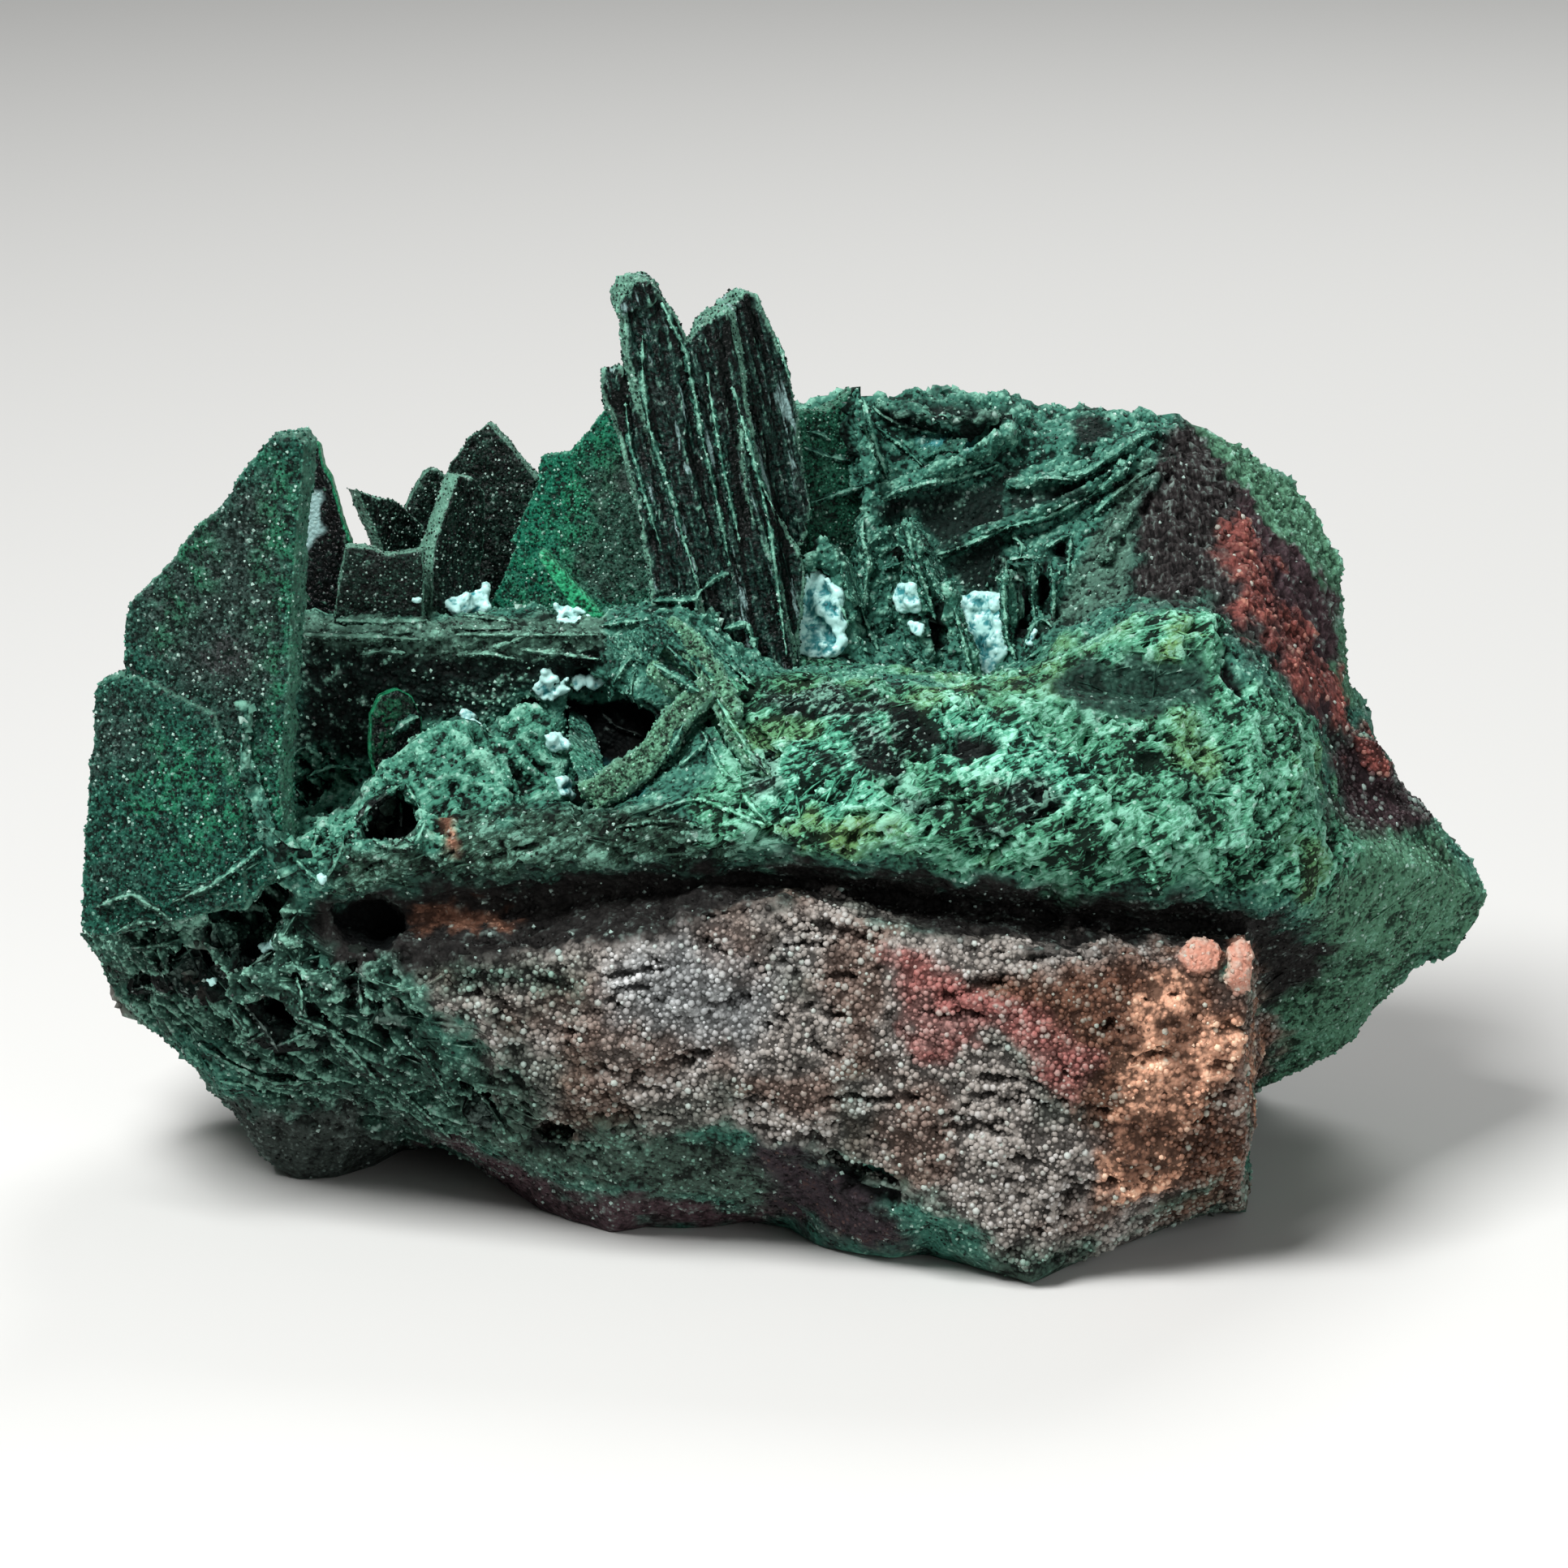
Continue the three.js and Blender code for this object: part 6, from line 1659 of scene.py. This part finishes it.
def druse_material(colours):
    """Grains of the rock: each takes a tone between its zone's hollow and ridge colours."""
    material, graph, shader = new_material("rock druse")
    at = object_millimetres(graph)
    grain = attribute(graph, "grain", "Fac")
    sharp = attribute(graph, "sharp", "Fac")
    mottle = graph.noise(at, 0.6, detail=5, roughness=0.65)
    patches = graph.noise(at, 0.25, detail=3, roughness=0.6)
    rounded = attribute(graph, "face_grains", "Fac")
    # sharp darkens the grains in pits as painted shade and pales those on ridges, partly as painted
    # highlight.
    tone = sharp * 0.6 + (mottle - 0.5) * 2.3 + (patches - 0.5) * 1.4 + 0.44
    tone = tone + (grain - 0.5) * (1.0 - rounded * 0.4)
    coat = zone_coat(graph, tone)
    glint = grain.rising(0.93, 0.96) * tone.rising(0.2, 0.7) * (1 - rounded * 0.6)
    connect(graph, graph.blend(glint * 0.6, coat, (*colours.sparkle, 1)), shader, "Base Color")
    connect(graph, 0.5 - glint * 0.25 - rounded * 0.15, shader, "Roughness")
    shader.inputs["Specular IOR Level"].default_value = 0.18
    return material


def crystal_druse_material(name, colour, colours):
    """Grains of one crystal, from near black to pale, with a bloom of brown."""
    material, graph, shader = new_material(f"{name} druse")
    at = object_millimetres(graph)
    grain = attribute(graph, "grain", "Fac")
    edge = attribute(graph, "thin_edge", "Fac")
    mottle = graph.noise(at, 0.8, detail=5, roughness=0.65)
    tone = (mottle - 0.5) * 2.6 + (grain - 0.5) * 1.3 + 0.45 + edge * 0.3
    body = crystal_tones(graph, tone, colour, colours)
    glint = grain.rising(0.9, 0.94) * tone.rising(0.1, 0.6)
    connect(graph, graph.blend(glint * 0.6, body, (*colours.sparkle, 1)), shader, "Base Color")
    connect(graph, 0.5 - glint * 0.2, shader, "Roughness")
    shader.inputs["Specular IOR Level"].default_value = 0.15
    return material


# Sizes of the crystals' grains as a share of the rock's
GRAIN_SIZES = {"left_plate": 0.75, "crossed_blades": 0.8, "spire_cluster": 0.7}
USUAL_GRAIN = 0.6
# Grains nearer to the rock than this, in mm, are left out
ROCK_CLEARANCE = 0.28
# Height of the grains as a share of their width, and how far they tilt in radians
SHARP_GRAIN = {"tall": 1.1, "tilt": 1.2, "rounded": False}
ROUND_GRAIN = {"tall": 0.8, "tilt": 0.3, "rounded": True}
# Spacing and radius in mm of the grains on straps and blades
STRAP_GRAIN_GAP = 0.34
BLADE_GRAIN_GAP = 0.3
THIN_GRAIN = 0.13
# Share of the rock's faces that is kept
KEPT_FACES = 0.3


# Operators


class SPECIMEN_OT_rock(bpy.types.Operator):
    """Makes the rock with its lumps, fibres, cells and ribs"""

    bl_idname = "specimen.rock"
    bl_label = "Make rock"

    def execute(self, context):
        sizes = context.scene.specimen_sizes
        colours = context.scene.specimen_colours
        rock = copy_of_node("matrix", "rock")
        apply_modifier(rock, "REMESH", mode="VOXEL", voxel_size=sizes.rock_mesh)
        apply_modifier(rock, "SMOOTH", factor=0.5, iterations=4)
        points = read_points(rock.data)
        normals = vertex_normals(rock.data)
        shares, facing = paint_zones(rock.data, points, normals, colours)
        relief_amounts(rock.data, points, shares, facing)
        relief_of_rock(rock, sizes)
        keep_on_base(rock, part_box("matrix"))
        thin_out_back(rock, KEPT_FACES)
        rock.data.materials.append(rock_material(colours))
        rock.data.shade_smooth()
        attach(rock, "root")
        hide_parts("matrix")
        return {"FINISHED"}


class SPECIMEN_OT_crystals(bpy.types.Operator):
    """Makes the blade crystals and the spires"""

    bl_idname = "specimen.crystals"
    bl_label = "Make crystals"

    def execute(self, context):
        for name in CRYSTAL_LOOKS:
            make_crystal(name, context.scene.specimen_sizes, context.scene.specimen_colours)
        return {"FINISHED"}


class SPECIMEN_OT_crystal_druse(bpy.types.Operator):
    """Covers the crystals with fine druse"""

    bl_idname = "specimen.crystal_druse"
    bl_label = "Make crystal druse"

    def execute(self, context):
        sizes = context.scene.specimen_sizes
        colours = context.scene.specimen_colours
        rock = bpy.data.objects["rock"]
        for name, (look, _, _) in CRYSTAL_LOOKS.items():
            if name in SMOOTH_CRYSTALS:
                continue
            scale = GRAIN_SIZES.get(name, USUAL_GRAIN)
            grain = {
                **SHARP_GRAIN, "gap": sizes.grain_gap * scale, "radius": sizes.grain * scale,
                "clear": ROCK_CLEARANCE * MM, "seed": sizes.seed,
            }
            host = bpy.data.objects[f"{name}_crystal"]
            where = "thin_edge" if name == "spire_cluster" else "broad_face"
            druse = scatter(f"{name}_druse", host, grain, where=where, clear_of=rock)
            material = crystal_druse_material(name, getattr(colours, look), colours)
            druse.data.materials.append(material)
        return {"FINISHED"}


class SPECIMEN_OT_thin_pieces(bpy.types.Operator):
    """Lays ledge edges, straps, blades and fibres on the rock"""

    bl_idname = "specimen.thin_pieces"
    bl_label = "Make thin pieces"

    def execute(self, context):
        sizes = context.scene.specimen_sizes
        material = bpy.data.materials["rock surface"]
        coat = druse_material(context.scene.specimen_colours)
        tree = specimen_tree()
        made = []
        for name, straps in STRAPS.items():
            made.append((make_straps(f"{name}_straps", straps, tree), STRAP_GRAIN_GAP))
        for name, blades in BLADES.items():
            made.append((make_blades(f"{name}_blades", blades, tree), BLADE_GRAIN_GAP))
        made.append((make_strands("mass_fibres", sizes.seed, MASS_FIBRES, tree), None))
        made.append((make_strands("network_fibres", sizes.seed, NETWORK_FIBRES, tree), None))
        for piece, gap in made:
            piece.data.materials.append(material)
            piece.data.shade_flat()
            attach(piece, "root")
            if gap:
                grain = {**SHARP_GRAIN, "gap": gap * MM, "radius": THIN_GRAIN * MM, "seed": sizes.seed}
                druse = scatter(f"{piece.name}_druse", piece, grain)
                druse.data.materials.append(coat)
        return {"FINISHED"}


class SPECIMEN_OT_crust(bpy.types.Operator):
    """Grows the pale crust in the hollows"""

    bl_idname = "specimen.crust"
    bl_label = "Make crust"

    def execute(self, context):
        crust = make_crust(CRUST_SPOTS, context.scene.specimen_sizes.seed)
        crust.data.materials.append(crust_material(context.scene.specimen_colours))
        crust.data.shade_smooth()
        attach(crust, "root")
        return {"FINISHED"}


class SPECIMEN_OT_rock_druse(bpy.types.Operator):
    """Covers the rock with druse, and its lower face with rounded grains"""

    bl_idname = "specimen.rock_druse"
    bl_label = "Make rock druse"

    def execute(self, context):
        sizes = context.scene.specimen_sizes
        rock = bpy.data.objects["rock"]
        material = druse_material(context.scene.specimen_colours)
        druse = {
            **SHARP_GRAIN, "gap": sizes.grain_gap, "radius": sizes.grain * 0.85, "seed": sizes.seed,
        }
        coats = {
            "mass_druse": {**druse, "gap": sizes.grain_gap * 1.7},
            "wall_druse": druse,
            "low_druse": druse,
            "face_grains": {
                **ROUND_GRAIN, "gap": sizes.face_gap, "radius": sizes.face_grain, "seed": sizes.seed,
            },
            "back_druse": {**druse, "gap": sizes.back_gap, "radius": sizes.grain * 1.9},
        }
        for name, grain in coats.items():
            piece = scatter(name, rock, grain, where=name)
            piece.data.materials.append(material)
        return {"FINISHED"}


class SPECIMEN_OT_stage(bpy.types.Operator):
    """Makes the floor, the lights and the camera"""

    bl_idname = "specimen.stage"
    bl_label = "Make stage"

    def execute(self, context):
        stage = context.scene.specimen_stage
        make_floor(stage)
        make_lights(stage)
        make_camera()
        return {"FINISHED"}


def make_floor(stage):
    bpy.ops.object.select_all(action="DESELECT")
    bpy.ops.mesh.primitive_plane_add(size=FLOOR_WIDTH)
    floor = bpy.context.object
    floor.name = "floor"
    material, _, shader = new_material("floor")
    shader.inputs["Base Color"].default_value = (*stage.floor, 1)
    shader.inputs["Roughness"].default_value = 0.9
    floor.data.materials.append(material)
    world = bpy.data.worlds.new("surround")
    world.use_nodes = True
    background = world.node_tree.nodes["Background"]
    background.inputs["Color"].default_value = (*stage.floor, 1)
    background.inputs["Strength"].default_value = stage.surround
    bpy.context.scene.world = world


def make_lights(stage):
    lights = [
        ("key", (-0.22, -0.3, 0.55), 0.26, stage.key_power),
        ("fill", (0.45, -0.6, 0.25), 0.5, stage.fill_power),
        ("back", (0.15, 0.45, 0.5), 0.3, stage.back_power),
    ]
    for name, place, width, power in lights:
        data = bpy.data.lights.new(name, "AREA")
        data.size = width
        data.energy = power
        light = bpy.data.objects.new(name, data)
        bpy.context.scene.collection.objects.link(light)
        light.location = place
        light.rotation_euler = (VIEW_MIDDLE - Vector(place)).to_track_quat("-Z", "Y").to_euler()


def make_camera():
    data = bpy.data.cameras.new("view")
    data.sensor_width = SENSOR_WIDTH
    data.lens = SENSOR_WIDTH * VIEW_DISTANCE / VIEW_WIDTH
    data.clip_start = 0.01
    data.clip_end = 20
    camera = bpy.data.objects.new("view", data)
    bpy.context.scene.collection.objects.link(camera)
    camera.location = EYE
    camera.rotation_euler = VIEW_AHEAD.to_track_quat("-Z", "Y").to_euler()
    bpy.context.scene.camera = camera


class SPECIMEN_PT_panel(bpy.types.Panel):
    """Lists the makers of the specimen's pieces."""

    bl_label = "Specimen"
    bl_idname = "SPECIMEN_PT_panel"
    bl_space_type = "VIEW_3D"
    bl_region_type = "UI"
    bl_category = "Specimen"

    def draw(self, context):
        for maker in MAKERS:
            self.layout.operator(maker.bl_idname)


MAKERS = [
    SPECIMEN_OT_stage, SPECIMEN_OT_rock, SPECIMEN_OT_crystals, SPECIMEN_OT_crystal_druse,
    SPECIMEN_OT_rock_druse, SPECIMEN_OT_thin_pieces, SPECIMEN_OT_crust,
]
CLASSES = [SpecimenSizes, SpecimenColours, StageSettings, *MAKERS, SPECIMEN_PT_panel]


def register():
    for item in CLASSES:
        bpy.utils.register_class(item)
    bpy.types.Scene.specimen_sizes = PointerProperty(type=SpecimenSizes)
    bpy.types.Scene.specimen_colours = PointerProperty(type=SpecimenColours)
    bpy.types.Scene.specimen_stage = PointerProperty(type=StageSettings)


def unregister():
    del bpy.types.Scene.specimen_stage
    del bpy.types.Scene.specimen_colours
    del bpy.types.Scene.specimen_sizes
    for item in reversed(CLASSES):
        bpy.utils.unregister_class(item)


def main():
    register()
    bpy.context.scene.view_settings.view_transform = "Standard"
    bpy.ops.specimen.stage()
    bpy.ops.specimen.rock()
    bpy.ops.specimen.crystals()
    bpy.ops.specimen.crystal_druse()
    bpy.ops.specimen.rock_druse()
    bpy.ops.specimen.thin_pieces()
    bpy.ops.specimen.crust()


if __name__ == "__main__":
    main()
